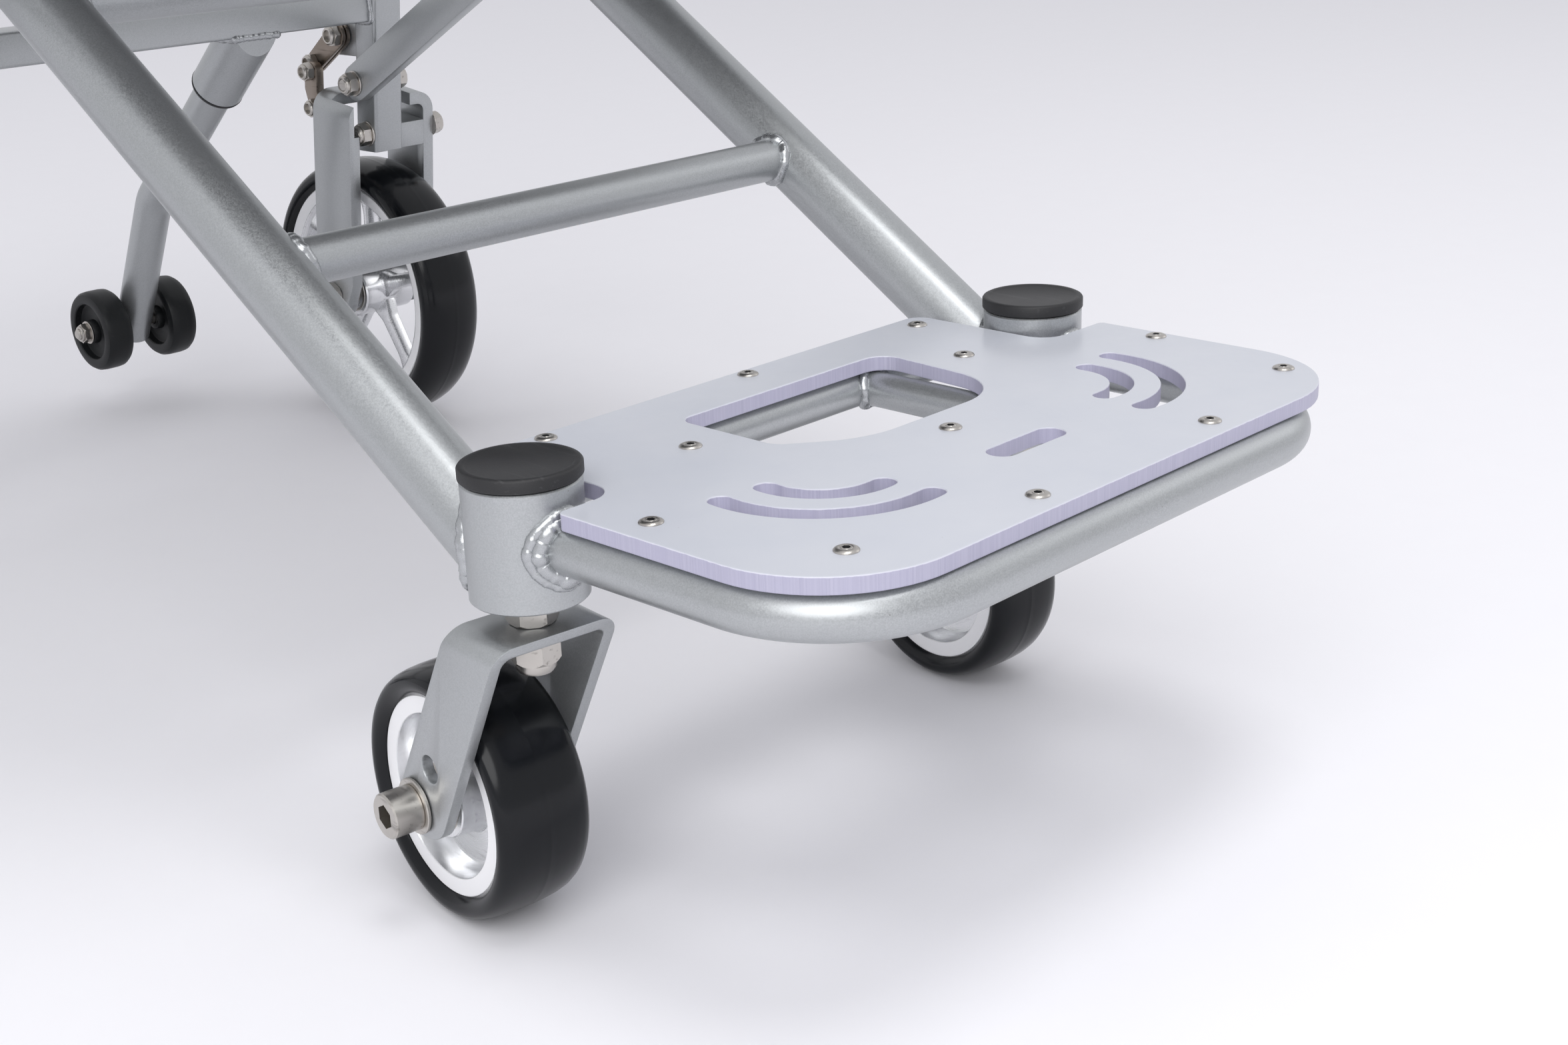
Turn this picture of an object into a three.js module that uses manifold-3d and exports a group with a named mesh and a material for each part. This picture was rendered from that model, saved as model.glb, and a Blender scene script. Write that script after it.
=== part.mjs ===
// Lower frame, wheels and footrest of a small-wheeled push chair, in millimetres, +Z up.
// The sitter faces -Y. The origin is on the floor under the middle of the chair.
import * as THREE from 'three';
import { mergeVertices } from 'three/addons/utils/BufferGeometryUtils.js';
import Module from 'manifold-3d';

const wasm = await Module();
wasm.setup();

// Driving dimensions
const gap = 0.3;                 // air between pieces that touch
const stemY = -332;              // caster stems, measured from the middle of the chair
const trackHalf = 146;           // half the distance between the two caster stems
const sideHalf = 243;            // half the distance between the two side frames
const rearWheelX = 248;
const seatZ = 505;

const head = { radius: 21.5, bore: 13.4, low: 143.3, high: 187.1 };
const cap = { radius: 22, neck: 20, plug: 13, seat: 188.2, top: 192.8 };
const mainTube = { radius: 15, wall: 2, height: 147.2, slope: 0.648 };
const frontCross = { radius: 9.5, y: 144, z: 240.5 };
const middleCross = { radius: 11, y: 292, z: 333 };
const loop = { radius: 9, bend: 52, frontY: -150, z: 165.4 };
const underTube = { radius: 8, y: 27, stayX: 62, z: 166.4 };
const plate = { left: -152, right: 162, neck: 124, neckY: -25, rear: 48, front: -153, top: 181, thick: 6.3 };
const plateRound = { front: 50, step: 3, neck: 11.5, rear: 8 };
const plateHole = [[-53, 19, 7], [66, 19, 10], [60, -54, 31], [-27, -54, 45], [-53, -32, 10]];
const drainSlot = [[-15, -97, 5.9], [25, -97, 5.9], [25, -109, 5.9], [-15, -109, 5.9]];
const plateArc = { middle: 5, x: 69, y: -66, radii: [25.5, 45.5], width: 9.5,
  from: 0.96 * Math.PI, to: 1.54 * Math.PI };
const caster = { wheel: 50.8, trail: 50, heading: -0.12 };
const casterBar = { top: 133.3, half: 26.5, thick: 5, corner: 9 };
const stemNut = { across: 19, upper: 7.7, lower: 13.9 };
const rear = { wheel: 89, y: 640, hingeY: 609, hingeZ: 199, lean: 0.14 };
const rearBar = { top: 24, half: 34, thick: 8, wide: 40, corner: 13 };
const post = { wide: 22, deep: 22, bottom: 187, top: 530 };
const rail = { low: 272, high: 292, front: 592, back: 620 };
const strut = { z: 233, slope: 0.543, half: 11.8, thick: 8 };
const seatRail = { size: 22, front: 62, crossRadius: 12.5, rearCrossY: 538 };
const cane = { radius: 11, gripRadius: 15, bend: 45, low: 620, top: 915, rake: 34 };
const seatCloth = { rear: 545, thick: 14, overhang: 8 };
const backCloth = { low: 610, high: 880, thick: 13, overhang: 10 };
const catchLever = { y: 630, z: 262, length: 34, drop: 34 };
const antitip = { x: 146, sleeve: 16.5, sleeveEnd: 52, tube: 12, bendAt: 180.6, bend: 34 };
const antitipWheel = { y: 795, z: 61.3, radius: 28, wide: 20, offset: 25 };
const smallBolt = { radius: 4, nut: 15 };
const axleBolt = { radius: 6, head: 9 };

const v = (x, y, z) => new THREE.Vector3(x, y, z);

// Finishes
const finish = (color, roughness, metalness) => ({ color, roughness, metalness });
const silver = finish(0x9a9da1, 0.38, 0.75);
const polished = finish(0xd9dadd, 0.18, 0.95);
const nickel = finish(0xb5aea4, 0.28, 0.95);
const brownSteel = finish(0x6f6358, 0.4, 0.85);
const blackPlastic = finish(0x1f1f21, 0.6, 0);
const tyreBlack = finish(0x141517, 0.35, 0);
const milkyPlate = finish(0xc9d0e4, 0.35, 0);
const cloth = finish(0x232529, 0.9, 0);

// A closed solid from a geometry's triangles
function solidOf(geometry) {
  const bare = geometry.clone();
  for (const name of Object.keys(bare.attributes)) {
    if (name !== 'position') bare.deleteAttribute(name);
  }
  const merged = mergeVertices(bare, 1e-4);
  const index = merged.index.array;
  const faces = [];
  for (let i = 0; i < index.length; i += 3) {
    const [a, b, c] = [index[i], index[i + 1], index[i + 2]];
    if (a !== b && b !== c && c !== a) faces.push(a, b, c);
  }
  return new wasm.Manifold(new wasm.Mesh({
    numProp: 3,
    vertProperties: merged.attributes.position.array,
    triVerts: new Uint32Array(faces),
  }));
}

function geometryOf(solid) {
  const mesh = solid.getMesh();
  const geometry = new THREE.BufferGeometry();
  geometry.setAttribute('position', new THREE.BufferAttribute(mesh.vertProperties, 3));
  geometry.setIndex(new THREE.BufferAttribute(mesh.triVerts, 1));
  geometry.computeVertexNormals();
  return geometry;
}

const joined = (first, ...rest) => rest.reduce((sum, piece) => sum.add(piece), first);
const cutBy = (first, ...rest) => rest.reduce((left, piece) => left.subtract(piece), first);

// A round bar between two points
function bar(from, to, radius, sides = 20) {
  const along = to.clone().sub(from);
  const geometry = new THREE.CylinderGeometry(radius, radius, along.length(), sides);
  geometry.applyQuaternion(new THREE.Quaternion().setFromUnitVectors(v(0, 1, 0), along.normalize()));
  const middle = from.clone().add(to).multiplyScalar(0.5);
  return solidOf(geometry.translate(middle.x, middle.y, middle.z));
}

// A tube between two points, open at both ends
function pipe(from, to, radius, wall, sides = 20) {
  const reach = to.clone().sub(from).normalize();
  const inside = bar(from.clone().sub(reach), to.clone().add(reach), radius - wall, sides);
  return bar(from, to, radius, sides).subtract(inside);
}

function box(low, high) {
  const geometry = new THREE.BoxGeometry(high[0] - low[0], high[1] - low[1], high[2] - low[2]);
  return solidOf(geometry.translate(...low.map((value, i) => (value + high[i]) / 2)));
}

// A profile of [radius, height] points turned about Z
function turned(profile, segments = 24) {
  const points = profile.map(([r, z]) => new THREE.Vector2(r, z));
  if (profile[0][0] > 0) points.push(points[0].clone());
  return solidOf(new THREE.LatheGeometry(points, segments).rotateX(Math.PI / 2));
}

// The same, about X
const turnedAboutX = (profile, segments) => turned(profile, segments).rotate([0, 90, 0]);

// A flat plate: an outline in XY, raised from z
function slab(shape, z, thick, curveSegments = 4) {
  const settings = { depth: thick, bevelEnabled: false, curveSegments };
  return solidOf(new THREE.ExtrudeGeometry(shape, settings).translate(0, 0, z));
}

// A flat bar standing in the YZ plane: its outline is [y, z], its thickness runs along +X from x
function sideSlab(shape, x, thick, curveSegments = 4) {
  const geometry = new THREE.ExtrudeGeometry(shape, { depth: thick, bevelEnabled: false, curveSegments });
  return solidOf(geometry.rotateX(Math.PI / 2).rotateZ(Math.PI / 2).translate(x, 0, 0));
}

// A solid round bar that follows corner points, each corner bent to a radius
function bentBar(corners, bend, radius, steps = 28, sides = 12) {
  const path = new THREE.CurvePath();
  let last = corners[0];
  corners.slice(1, -1).forEach((corner, i) => {
    const before = last.clone().sub(corner).normalize().multiplyScalar(bend).add(corner);
    const after = corners[i + 2].clone().sub(corner).normalize().multiplyScalar(bend).add(corner);
    path.add(new THREE.LineCurve3(last, before));
    path.add(new THREE.QuadraticBezierCurve3(before, corner, after));
    last = after;
  });
  path.add(new THREE.LineCurve3(last, corners.at(-1)));
  const section = new THREE.Shape().absarc(0, 0, radius, 0, Math.PI * 2);
  const settings = { extrudePath: path, steps, curveSegments: sides / 2, bevelEnabled: false };
  return solidOf(new THREE.ExtrudeGeometry(section, settings));
}

// A closed outline through [x, y, radius] corners, each rounded to its radius
function roundedOutline(corners) {
  const shape = new THREE.Shape();
  corners.forEach(([x, y, radius], i) => {
    const corner = new THREE.Vector2(x, y);
    const [back, ahead] = [corners.at(i - 1), corners[(i + 1) % corners.length]]
      .map(([nearX, nearY]) => new THREE.Vector2(nearX, nearY).sub(corner).normalize());
    const half = Math.acos(back.dot(ahead)) / 2;
    const clockwise = back.cross(ahead) > 0;
    const centre = back.clone().add(ahead).normalize().multiplyScalar(radius / Math.sin(half)).add(corner);
    const [from, to] = [back, ahead].map(
      way => way.multiplyScalar(radius / Math.tan(half)).add(corner).sub(centre).angle());
    shape.absarc(centre.x, centre.y, radius, from, to, clockwise);
  });
  return shape;
}

// A hexagonal nut or bolt head lying along X
function hexAlongX(x, y, z, acrossCorners, thick) {
  return solidOf(new THREE.CylinderGeometry(acrossCorners / 2, acrossCorners / 2, thick, 6)
    .rotateZ(Math.PI / 2).translate(x + thick / 2, y, z));
}

const alongX = (x0, x1, y, z, radius, sides) => bar(v(x0, y, z), v(x1, y, z), radius, sides);
const mirrored = (solid, side) => (side > 0 ? solid : solid.mirror([1, 0, 0]));

const chair = new THREE.Group();
const frame = new THREE.Group();
frame.position.y = stemY;
chair.add(frame);

function addPart(group, name, solid, look) {
  const mesh = new THREE.Mesh(geometryOf(solid), new THREE.MeshStandardMaterial(look));
  mesh.name = name;
  group.add(mesh);
}

const sides = [['right', -1], ['left', 1]];
const mainPoint = (side, y) => v(side * trackHalf, y, mainTube.height + mainTube.slope * y);
const postY = (z) => rear.hingeY + 2 - rear.lean * (z - rear.hingeZ);
const postFace = sideHalf - post.wide / 2;

// After a cope is cut, only the biggest leftover is the tube
const largest = (solid) => solid.decompose().sort((a, b) => b.volume() - a.volume())[0];

// The room that the head tubes and main tubes take up, where other tubes are coped to meet them
const headSpaces = sides.map(([, side]) => bar(v(side * trackHalf, 0, 100), v(side * trackHalf, 0, 240),
  head.radius + gap, 36));
const mainSpaces = sides.map(([, side]) => bar(mainPoint(side, -30), mainPoint(side, 620),
  mainTube.radius + gap, 24));

// Welded front end: head tubes with their caps and bearings, main tubes, cross tube
function addFrontEnd(name, side) {
  const stem = side * trackHalf;
  const headTube = turned([[head.bore, head.low], [head.radius, head.low],
    [head.radius, head.high], [head.bore, head.high]], 24).translate([stem, 0, 0]);
  addPart(frame, `head_tube_${name}`, headTube, silver);

  const capSolid = turned([[0, head.high - 7], [cap.plug, head.high - 7], [cap.plug, head.high + gap],
    [cap.neck, head.high + gap], [cap.neck, cap.seat], [cap.radius, cap.seat + 0.5],
    [cap.radius, cap.top - 0.6], [cap.radius - 0.8, cap.top], [cap.radius - 2.6, cap.top],
    [cap.radius - 3.4, cap.top - 0.6], [0, cap.top - 0.6]], 20);
  addPart(frame, `stem_cap_${name}`, capSolid.translate([stem, 0, 0]), blackPlastic);

  const bearing = turned([[5.4, head.low + 1], [13, head.low + 1], [13, head.low + 10], [8, head.low + 10],
    [8, head.low + 24], [13, head.low + 24], [13, head.low + 33], [5.4, head.low + 33]], 12);
  addPart(frame, `stem_bearing_${name}`, bearing.translate([stem, 0, 0]), polished);

  const crossSpace = alongX(-200, 200, seatRail.rearCrossY, seatZ, seatRail.crossRadius + gap, 24);
  const { radius, wall } = mainTube;
  const main = pipe(mainPoint(side, 2), mainPoint(side, seatRail.rearCrossY), radius, wall, 24);
  addPart(frame, `main_tube_${name}`, largest(cutBy(main, ...headSpaces, crossSpace)), silver);
}
sides.forEach(([name, side]) => addFrontEnd(name, side));

for (const [name, { radius, y, z }] of [['front_cross_tube', frontCross], ['middle_cross_tube', middleCross]]) {
  const tube = pipe(v(-trackHalf, y, z), v(trackHalf, y, z), radius, 2);
  addPart(frame, name, largest(cutBy(tube, ...mainSpaces)), silver);
}

// Footrest: a bent loop ahead of the head tubes, a tube between them, two stays and the plate
const loopCorners = [v(-trackHalf, -8, loop.z), v(-trackHalf, loop.frontY, loop.z),
  v(trackHalf, loop.frontY, loop.z), v(trackHalf, -8, loop.z)];
const loopSolid = largest(cutBy(bentBar(loopCorners, loop.bend, loop.radius, 36), ...headSpaces));
addPart(frame, 'footrest_loop', loopSolid, silver);

const loopSpace = alongX(-90, 90, loop.frontY, loop.z, loop.radius + gap, 24);
const rearTubeEnd = side => v(side * trackHalf, underTube.y, underTube.z);
const rearTube = largest(cutBy(pipe(rearTubeEnd(-1), rearTubeEnd(1), underTube.radius, 1.6, 16),
  ...headSpaces, ...mainSpaces));
addPart(frame, 'footrest_rear_tube', rearTube, silver);
const rearTubeSpace = alongX(-160, 160, underTube.y, underTube.z, underTube.radius + gap, 16);
for (const [name, side] of sides) {
  const stay = pipe(v(side * underTube.stayX, underTube.y, underTube.z),
    v(side * underTube.stayX, loop.frontY, underTube.z), underTube.radius - 0.5, 1.6, 16);
  addPart(frame, `footrest_stay_${name}`, largest(cutBy(stay, rearTubeSpace, loopSpace)), silver);
}

function arcSlot(side, radius) {
  const outer = radius + plateArc.width / 2;
  const inner = radius - plateArc.width / 2;
  const { x, y, from, to } = plateArc;
  const slot = new THREE.Shape().absarc(0, 0, outer, from, to);
  slot.absarc(radius * Math.cos(to), radius * Math.sin(to), plateArc.width / 2, to, to + Math.PI);
  slot.absarc(0, 0, inner, to, from, true);
  slot.absarc(radius * Math.cos(from), radius * Math.sin(from), plateArc.width / 2, from - Math.PI, from);
  const solid = slab(slot, plate.top - plate.thick - 1, plate.thick + 2, 3).translate([-x, y, 0]);
  return mirrored(solid, -side).translate([plateArc.middle, 0, 0]);
}

function footplate() {
  const { left, right, neck, neckY, front, rear: back } = plate;
  const low = plate.top - plate.thick;
  const outline = roundedOutline([[-neck, back, plateRound.rear], [-neck, neckY, plateRound.neck],
    [left, neckY, plateRound.step], [left, front, plateRound.front], [right, front, plateRound.front],
    [right, neckY, plateRound.step], [neck, neckY, plateRound.neck], [neck, back, plateRound.rear]]);
  const holes = [plateHole, drainSlot].map(corners => slab(roundedOutline(corners), low - 1, plate.thick + 2));
  const slots = sides.flatMap(([, side]) => plateArc.radii.map(radius => arcSlot(side, radius)));
  return cutBy(slab(outline, low, plate.thick), ...holes, ...slots);
}
addPart(frame, 'footplate', footplate(), milkyPlate);

// A point on the anti-tip sleeve's axis, a distance along it from the rail's underside
const sleevePoint = (distance) => v(antitip.x, 604 + 0.764 * distance, 272.1 - 0.645 * distance);

// Side frames: leaning posts that run up into the backrest canes, a rear rail, struts and uprights
function addSideFrame(name, side) {
  const bottomY = postY(post.bottom);
  const halfDeep = post.deep / 2;
  const outline = new THREE.Shape();
  outline.moveTo(bottomY - halfDeep, post.bottom);
  outline.lineTo(bottomY + halfDeep, post.bottom);
  outline.lineTo(postY(post.top) + halfDeep, post.top);
  outline.lineTo(postY(post.top) - halfDeep, post.top);
  const square = sideSlab(outline, postFace, post.wide);
  const caneY = postY(post.top);
  const caneTopY = caneY + 6 + cane.rake;
  const cornersOfCane = [v(sideHalf, caneY + 4, post.top - 40), v(sideHalf, caneY + 6, cane.low),
    v(sideHalf, caneTopY, cane.top), v(sideHalf, caneTopY + 150, cane.top + 16)];
  const tube = bentBar(cornersOfCane, cane.bend, cane.radius, 22);
  const lugY = postY(catchLever.z);
  const lug = box([sideHalf - 7, lugY + 4, catchLever.z - 14], [sideHalf + 3, lugY + 38, rail.low - gap]);
  const boltSpace = alongX(180, 300, rear.hingeY, rear.hingeZ, smallBolt.radius + gap, 16);
  const strutBoltSpace = alongX(180, 300, postY(strut.z), strut.z, smallBolt.radius + gap, 16);
  const body = cutBy(joined(square, tube, lug), boltSpace, strutBoltSpace);
  addPart(frame, `rear_post_${name}`, mirrored(body, side), silver);

  const handle = pipe(v(sideHalf, caneY + 92, cane.top + 5.5), v(sideHalf, caneY + 197, cane.top + 16.7),
    cane.gripRadius, cane.gripRadius - cane.radius - 0.6, 16);
  addPart(frame, `push_grip_${name}`, mirrored(handle, side), blackPlastic);

  const strutX = postFace - gap - strut.thick;
  const strutY = postY(strut.z);
  const slope = Math.atan(strut.slope);
  const reach = (seatZ - strut.z) / Math.sin(slope);
  const strutShape = new THREE.Shape().absarc(0, 0, strut.half, Math.PI / 2, Math.PI * 1.5);
  strutShape.lineTo(reach, -strut.half).absarc(reach, 0, strut.half, -Math.PI / 2, Math.PI / 2);
  const flat = sideSlab(strutShape, 0, strut.thick).rotate([slope * 180 / Math.PI, 0, 0]).mirror([0, 1, 0])
    .translate([strutX, strutY, strut.z]);
  const bolt = joined(hexAlongX(strutX - 6, strutY, strut.z, smallBolt.nut, 6.5),
    alongX(strutX, sideHalf + 16, strutY, strut.z, smallBolt.radius, 12),
    hexAlongX(postFace + post.wide + gap, strutY, strut.z, smallBolt.nut, 6));
  addPart(frame, `side_strut_${name}`, mirrored(flat.add(bolt), side), silver);

  const uprightTop = seatZ - seatRail.crossRadius;
  const uprightY = middleCross.y;
  const upright = pipe(v(trackHalf, uprightY, 300), v(trackHalf, uprightY, uprightTop + 20), 11, 2, 16);
  const bridge = alongX(100, 300, uprightY, seatZ, seatRail.crossRadius + gap, 20);
  const copedUpright = largest(cutBy(upright, mainSpaces[1], bridge));
  addPart(frame, `front_upright_${name}`, mirrored(copedUpright, side), silver);

  const sleeve = pipe(sleevePoint(-20), sleevePoint(antitip.sleeveEnd), antitip.sleeve,
    antitip.sleeve - antitip.tube - gap, 20);
  const aboveRail = box([0, rail.front - 60, rail.low - gap], [300, rail.back + gap, rail.high + 40]);
  const aheadOfRail = box([0, rail.front - 60, 200], [300, rail.front, rail.high]);
  const copedSleeve = largest(cutBy(sleeve, aboveRail, aheadOfRail));
  addPart(frame, `antitip_sleeve_${name}`, mirrored(copedSleeve, side), silver);
}
sides.forEach(([name, side]) => addSideFrame(name, side));
const railEnd = postFace - gap;
const crossRail = box([-railEnd, rail.front, rail.low], [railEnd, rail.back, rail.high]);
addPart(frame, 'rear_cross_rail', crossRail, silver);

function seatFrame() {
  const half = seatRail.size / 2;
  const backY = postY(seatZ) - post.deep / 2 - 1.5 - gap;
  const cross = y => alongX(-sideHalf, sideHalf, y, seatZ, seatRail.crossRadius, 24);
  const rails = sides.map(([, side]) => box([side * sideHalf - half, seatRail.front, seatZ - half],
    [side * sideHalf + half, backY, seatZ + half]));
  return joined(...rails, cross(seatRail.front + 12), cross(middleCross.y), cross(seatRail.rearCrossY));
}
addPart(frame, 'seat_frame', seatFrame(), silver);

// Cloth seat and back: plain closed slabs that lie on the rails and between the canes
const seatTop = seatZ + seatRail.crossRadius + gap;
const seatClothHalf = sideHalf + seatCloth.overhang;
addPart(frame, 'seat_sling', box([-seatClothHalf, seatRail.front + 6, seatTop],
  [seatClothHalf, seatCloth.rear, seatTop + seatCloth.thick]), cloth);

function backSling() {
  const { low, high, thick, overhang } = backCloth;
  const front = postY(post.top) - cane.radius + 3 - gap;
  const slant = cane.rake / (cane.top - cane.low) * (high - low);
  const shape = new THREE.Shape();
  shape.moveTo(front - thick, low).lineTo(front, low);
  shape.lineTo(front + slant, high).lineTo(front + slant - thick, high);
  return sideSlab(shape, -sideHalf - overhang, 2 * (sideHalf + overhang));
}
addPart(frame, 'back_sling', backSling(), cloth);

// A tyre and a rim share one axis along X
function tyreSolid(radius, half, bed, segments) {
  return turnedAboutX([[bed, -half * 0.86], [radius * 0.92, -half], [radius, -half * 0.4],
    [radius, half * 0.4], [radius * 0.92, half], [bed, half * 0.86]], segments);
}

function discRim(size, segments) {
  const { outer, ring, web, hub, bore, faceHalf, webHalf, hubHalf } = size;
  return turnedAboutX([[bore, -hubHalf], [hub, -hubHalf], [hub + 1, -webHalf], [web, -webHalf],
    [ring, -faceHalf], [outer, -faceHalf], [outer, faceHalf], [ring, faceHalf], [web, webHalf],
    [hub + 1, webHalf], [hub, hubHalf], [bore, hubHalf]], segments);
}

// A bent flat-bar fork seen from the front: two legs and a bridge with rounded corners
function forkFrontView(halfWide, barThick, low, high, corner) {
  const shape = new THREE.Shape();
  const inner = corner - barThick;
  shape.moveTo(-halfWide, low).lineTo(-halfWide, high - corner);
  shape.absarc(-halfWide + corner, high - corner, corner, Math.PI, Math.PI / 2, true);
  shape.absarc(halfWide - corner, high - corner, corner, Math.PI / 2, 0, true);
  shape.lineTo(halfWide, low).lineTo(halfWide - barThick, low);
  shape.absarc(halfWide - corner, high - corner, inner, 0, Math.PI / 2);
  shape.absarc(-halfWide + corner, high - corner, inner, Math.PI / 2, Math.PI);
  shape.lineTo(-halfWide + barThick, low);
  return shape;
}

// The front view extruded through the fork's depth, from y0 to y1
function forkBlank(shape, y0, y1) {
  const geometry = new THREE.ExtrudeGeometry(shape, { depth: y1 - y0, bevelEnabled: false, curveSegments: 2 });
  return solidOf(geometry.rotateX(Math.PI / 2).translate(0, y1, 0));
}

// Casters: stem bolt and nuts, fork, axle bolt, tyre, rim and bearing sleeve
function casterFork() {
  const { top, half, thick, corner } = casterBar;
  const { trail, wheel } = caster;
  const eye = 12.5;
  const blank = forkBlank(forkFrontView(half, thick, 20, top, corner), -30, 80);
  const side = new THREE.Shape();
  side.moveTo(-17, top + 1).lineTo(trail - 19, wheel - 3.4);
  side.quadraticCurveTo(trail - 14.5, wheel - eye, trail, wheel - eye);
  side.absarc(trail, wheel, eye, -Math.PI / 2, Math.PI / 6);
  side.lineTo(15.5, top + 1);
  const outline = sideSlab(side, -half - 1, 2 * half + 2);
  const axleHole = alongX(-40, 40, trail, wheel, axleBolt.radius + gap, 20);
  const spareHole = alongX(-40, 40, trail - 12.1, wheel + 19.2, 5.5, 16);
  const stemHole = bar(v(0, 0, 100), v(0, 0, 160), 5 + gap, 20);
  return cutBy(blank.intersect(outline), axleHole, spareHole, stemHole);
}

function hexAlongZ(z, acrossCorners, thick) {
  const half = acrossCorners / 2;
  return solidOf(new THREE.CylinderGeometry(half, half, thick, 6).rotateX(Math.PI / 2)
    .translate(0, 0, z + thick / 2));
}

function stemBolt() {
  const { across, upper, lower } = stemNut;
  const under = casterBar.top - casterBar.thick - gap;
  const shank = bar(v(0, 0, under - lower), v(0, 0, head.low + 32), 5, 16);
  const end = under - lower;
  const dome = turned([[0, end], [4, end], [8, end + 4], [0, end + 4]], 16);
  return joined(shank, dome, hexAlongZ(end + 4, across, lower - 4),
    hexAlongZ(casterBar.top + gap, across, upper));
}

// An axle bolt along X: a socket head at one end, a nut and some thread at the other
function socketBolt(halfSpan, headLong, nutCorners) {
  const { radius, head: headRadius } = axleBolt;
  const shank = alongX(-halfSpan - gap, halfSpan + 14, 0, 0, radius, 20);
  const headSolid = alongX(-halfSpan - gap - 1.5 - headLong, -halfSpan - gap, 0, 0, headRadius, 24);
  const socket = hexAlongX(-halfSpan - gap - 3 - headLong, 0, 0, headRadius * 1.25, 7.5);
  return joined(shank, headSolid, hexAlongX(halfSpan + gap, 0, 0, nutCorners, 10)).subtract(socket);
}

const casterRimSize = { outer: 40.1, ring: 33, web: 31.5, hub: 16.5, bore: 13.8,
  faceHalf: 16.4, webHalf: 5, hubHalf: 17 };

for (const [name, side] of sides) {
  const swivel = new THREE.Group();
  swivel.position.set(side * trackHalf, 0, 0);
  swivel.rotation.z = caster.heading;
  frame.add(swivel);
  const wheel = new THREE.Group();
  wheel.position.set(0, caster.trail, caster.wheel);
  swivel.add(wheel);

  addPart(swivel, `caster_fork_${name}`, casterFork(), silver);
  addPart(swivel, `caster_stem_bolt_${name}`, stemBolt(), nickel);
  addPart(wheel, `caster_axle_bolt_${name}`, mirrored(socketBolt(casterBar.half, 10, 21.9), -side), nickel);
  addPart(wheel, `caster_tyre_${name}`, tyreSolid(caster.wheel, 19.8, 40.4, 28), tyreBlack);
  addPart(wheel, `caster_rim_${name}`, discRim(casterRimSize, 24), polished);
  const sleeve = turnedAboutX([[6.4, -17], [13.5, -17], [13.5, -9], [9, -9], [9, 9], [13.5, 9],
    [13.5, 17], [6.4, 17]], 12);
  addPart(wheel, `caster_bearing_${name}`, sleeve, nickel);
}

// Rear wheels: a leaning fork hinged to the foot of each post, and its catch behind the post
const leanAngle = Math.atan(rear.lean);
const rearAxle = v(0, rear.y - rear.hingeY, rear.wheel - rear.hingeZ).applyAxisAngle(v(1, 0, 0), -leanAngle);

function rearFork() {
  const { top, half: forkHalf, thick, wide, corner } = rearBar;
  const { y: back, z: axleZ } = rearAxle;
  const half = wide / 2;
  const blank = forkBlank(forkFrontView(forkHalf, thick, axleZ - half, top, corner), back - half, back + half);
  const side = new THREE.Shape();
  side.moveTo(back - half, 40).lineTo(back - half, axleZ + 12);
  side.absarc(back, axleZ, 15, Math.PI, Math.PI * 2);
  side.lineTo(back + half, axleZ + 12).lineTo(back + half, 40);
  const outline = sideSlab(side, -forkHalf - 1, 2 * forkHalf + 2);
  const toPost = sideHalf - rearWheelX;
  const clear = post.wide / 2 + 2;
  const notch = box([toPost - clear - 12, back - half - 1, 0], [toPost + clear + 7, back + 4, 40]);
  const block = box([toPost + clear - 1.3, back - half, -12], [forkHalf - thick + 1, back + 8, 5]);
  const clevis = box([-forkHalf + 6, back + half - 1, 4], [-forkHalf + 14, back + half + 13, 26]);
  const arm = box([-forkHalf + 6, back + half + 5, 10], [-forkHalf + 14, back + half + 19, 38]);
  const knee = hexAlongX(-forkHalf - 0.5, back + half + 12, 33, 13, 7);
  const hingeHole = alongX(0, 60, 0, 0, smallBolt.radius + gap, 16);
  const axleHole = alongX(-60, 60, back, axleZ, axleBolt.radius + gap, 20);
  return cutBy(joined(cutBy(blank.intersect(outline), notch), block, clevis, arm, knee), hingeHole, axleHole);
}

function rearTyreAndRim(group, name) {
  addPart(group, `rear_tyre_${name}`, tyreSolid(rear.wheel, 22, 74.4, 32), tyreBlack);
  const hoop = turnedAboutX([[64, -15], [74, -19], [74, 19], [64, 15]], 28);
  const hub = turnedAboutX([[6.4, -20], [17, -20], [17, 20], [6.4, 20]], 12);
  const spoke = box([-6, -6.5, 14], [6, 6.5, 66]);
  const spokes = [0, 1, 2, 3, 4].map(i => spoke.rotate([i * 72, 0, 0]));
  const bore = alongX(-30, 30, 0, 0, 6.4, 24);
  addPart(group, `rear_rim_${name}`, cutBy(joined(hoop, hub, ...spokes), bore), polished);
}

for (const [name, side] of sides) {
  const hinge = new THREE.Group();
  hinge.position.set(side * rearWheelX, rear.hingeY, rear.hingeZ);
  hinge.rotation.x = leanAngle;
  frame.add(hinge);
  addPart(hinge, `rear_fork_${name}`, mirrored(rearFork(), side), silver);

  const wheel = new THREE.Group();
  wheel.position.copy(rearAxle);
  wheel.rotation.x = -leanAngle;
  hinge.add(wheel);
  addPart(wheel, `rear_axle_bolt_${name}`, mirrored(socketBolt(rearBar.half, 8, 19), -side), nickel);
  rearTyreAndRim(wheel, name);

  const { hingeY, hingeZ } = rear;
  const forkFace = rearWheelX + rearBar.half;
  const bolt = joined(alongX(postFace - 9.5, forkFace + 1, hingeY, hingeZ, smallBolt.radius, 12),
    hexAlongX(postFace - gap - 8, hingeY, hingeZ, smallBolt.nut, 8),
    hexAlongX(forkFace + gap, hingeY, hingeZ, smallBolt.nut, 7));
  addPart(frame, `hinge_bolt_${name}`, mirrored(bolt, side), nickel);
}

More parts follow.
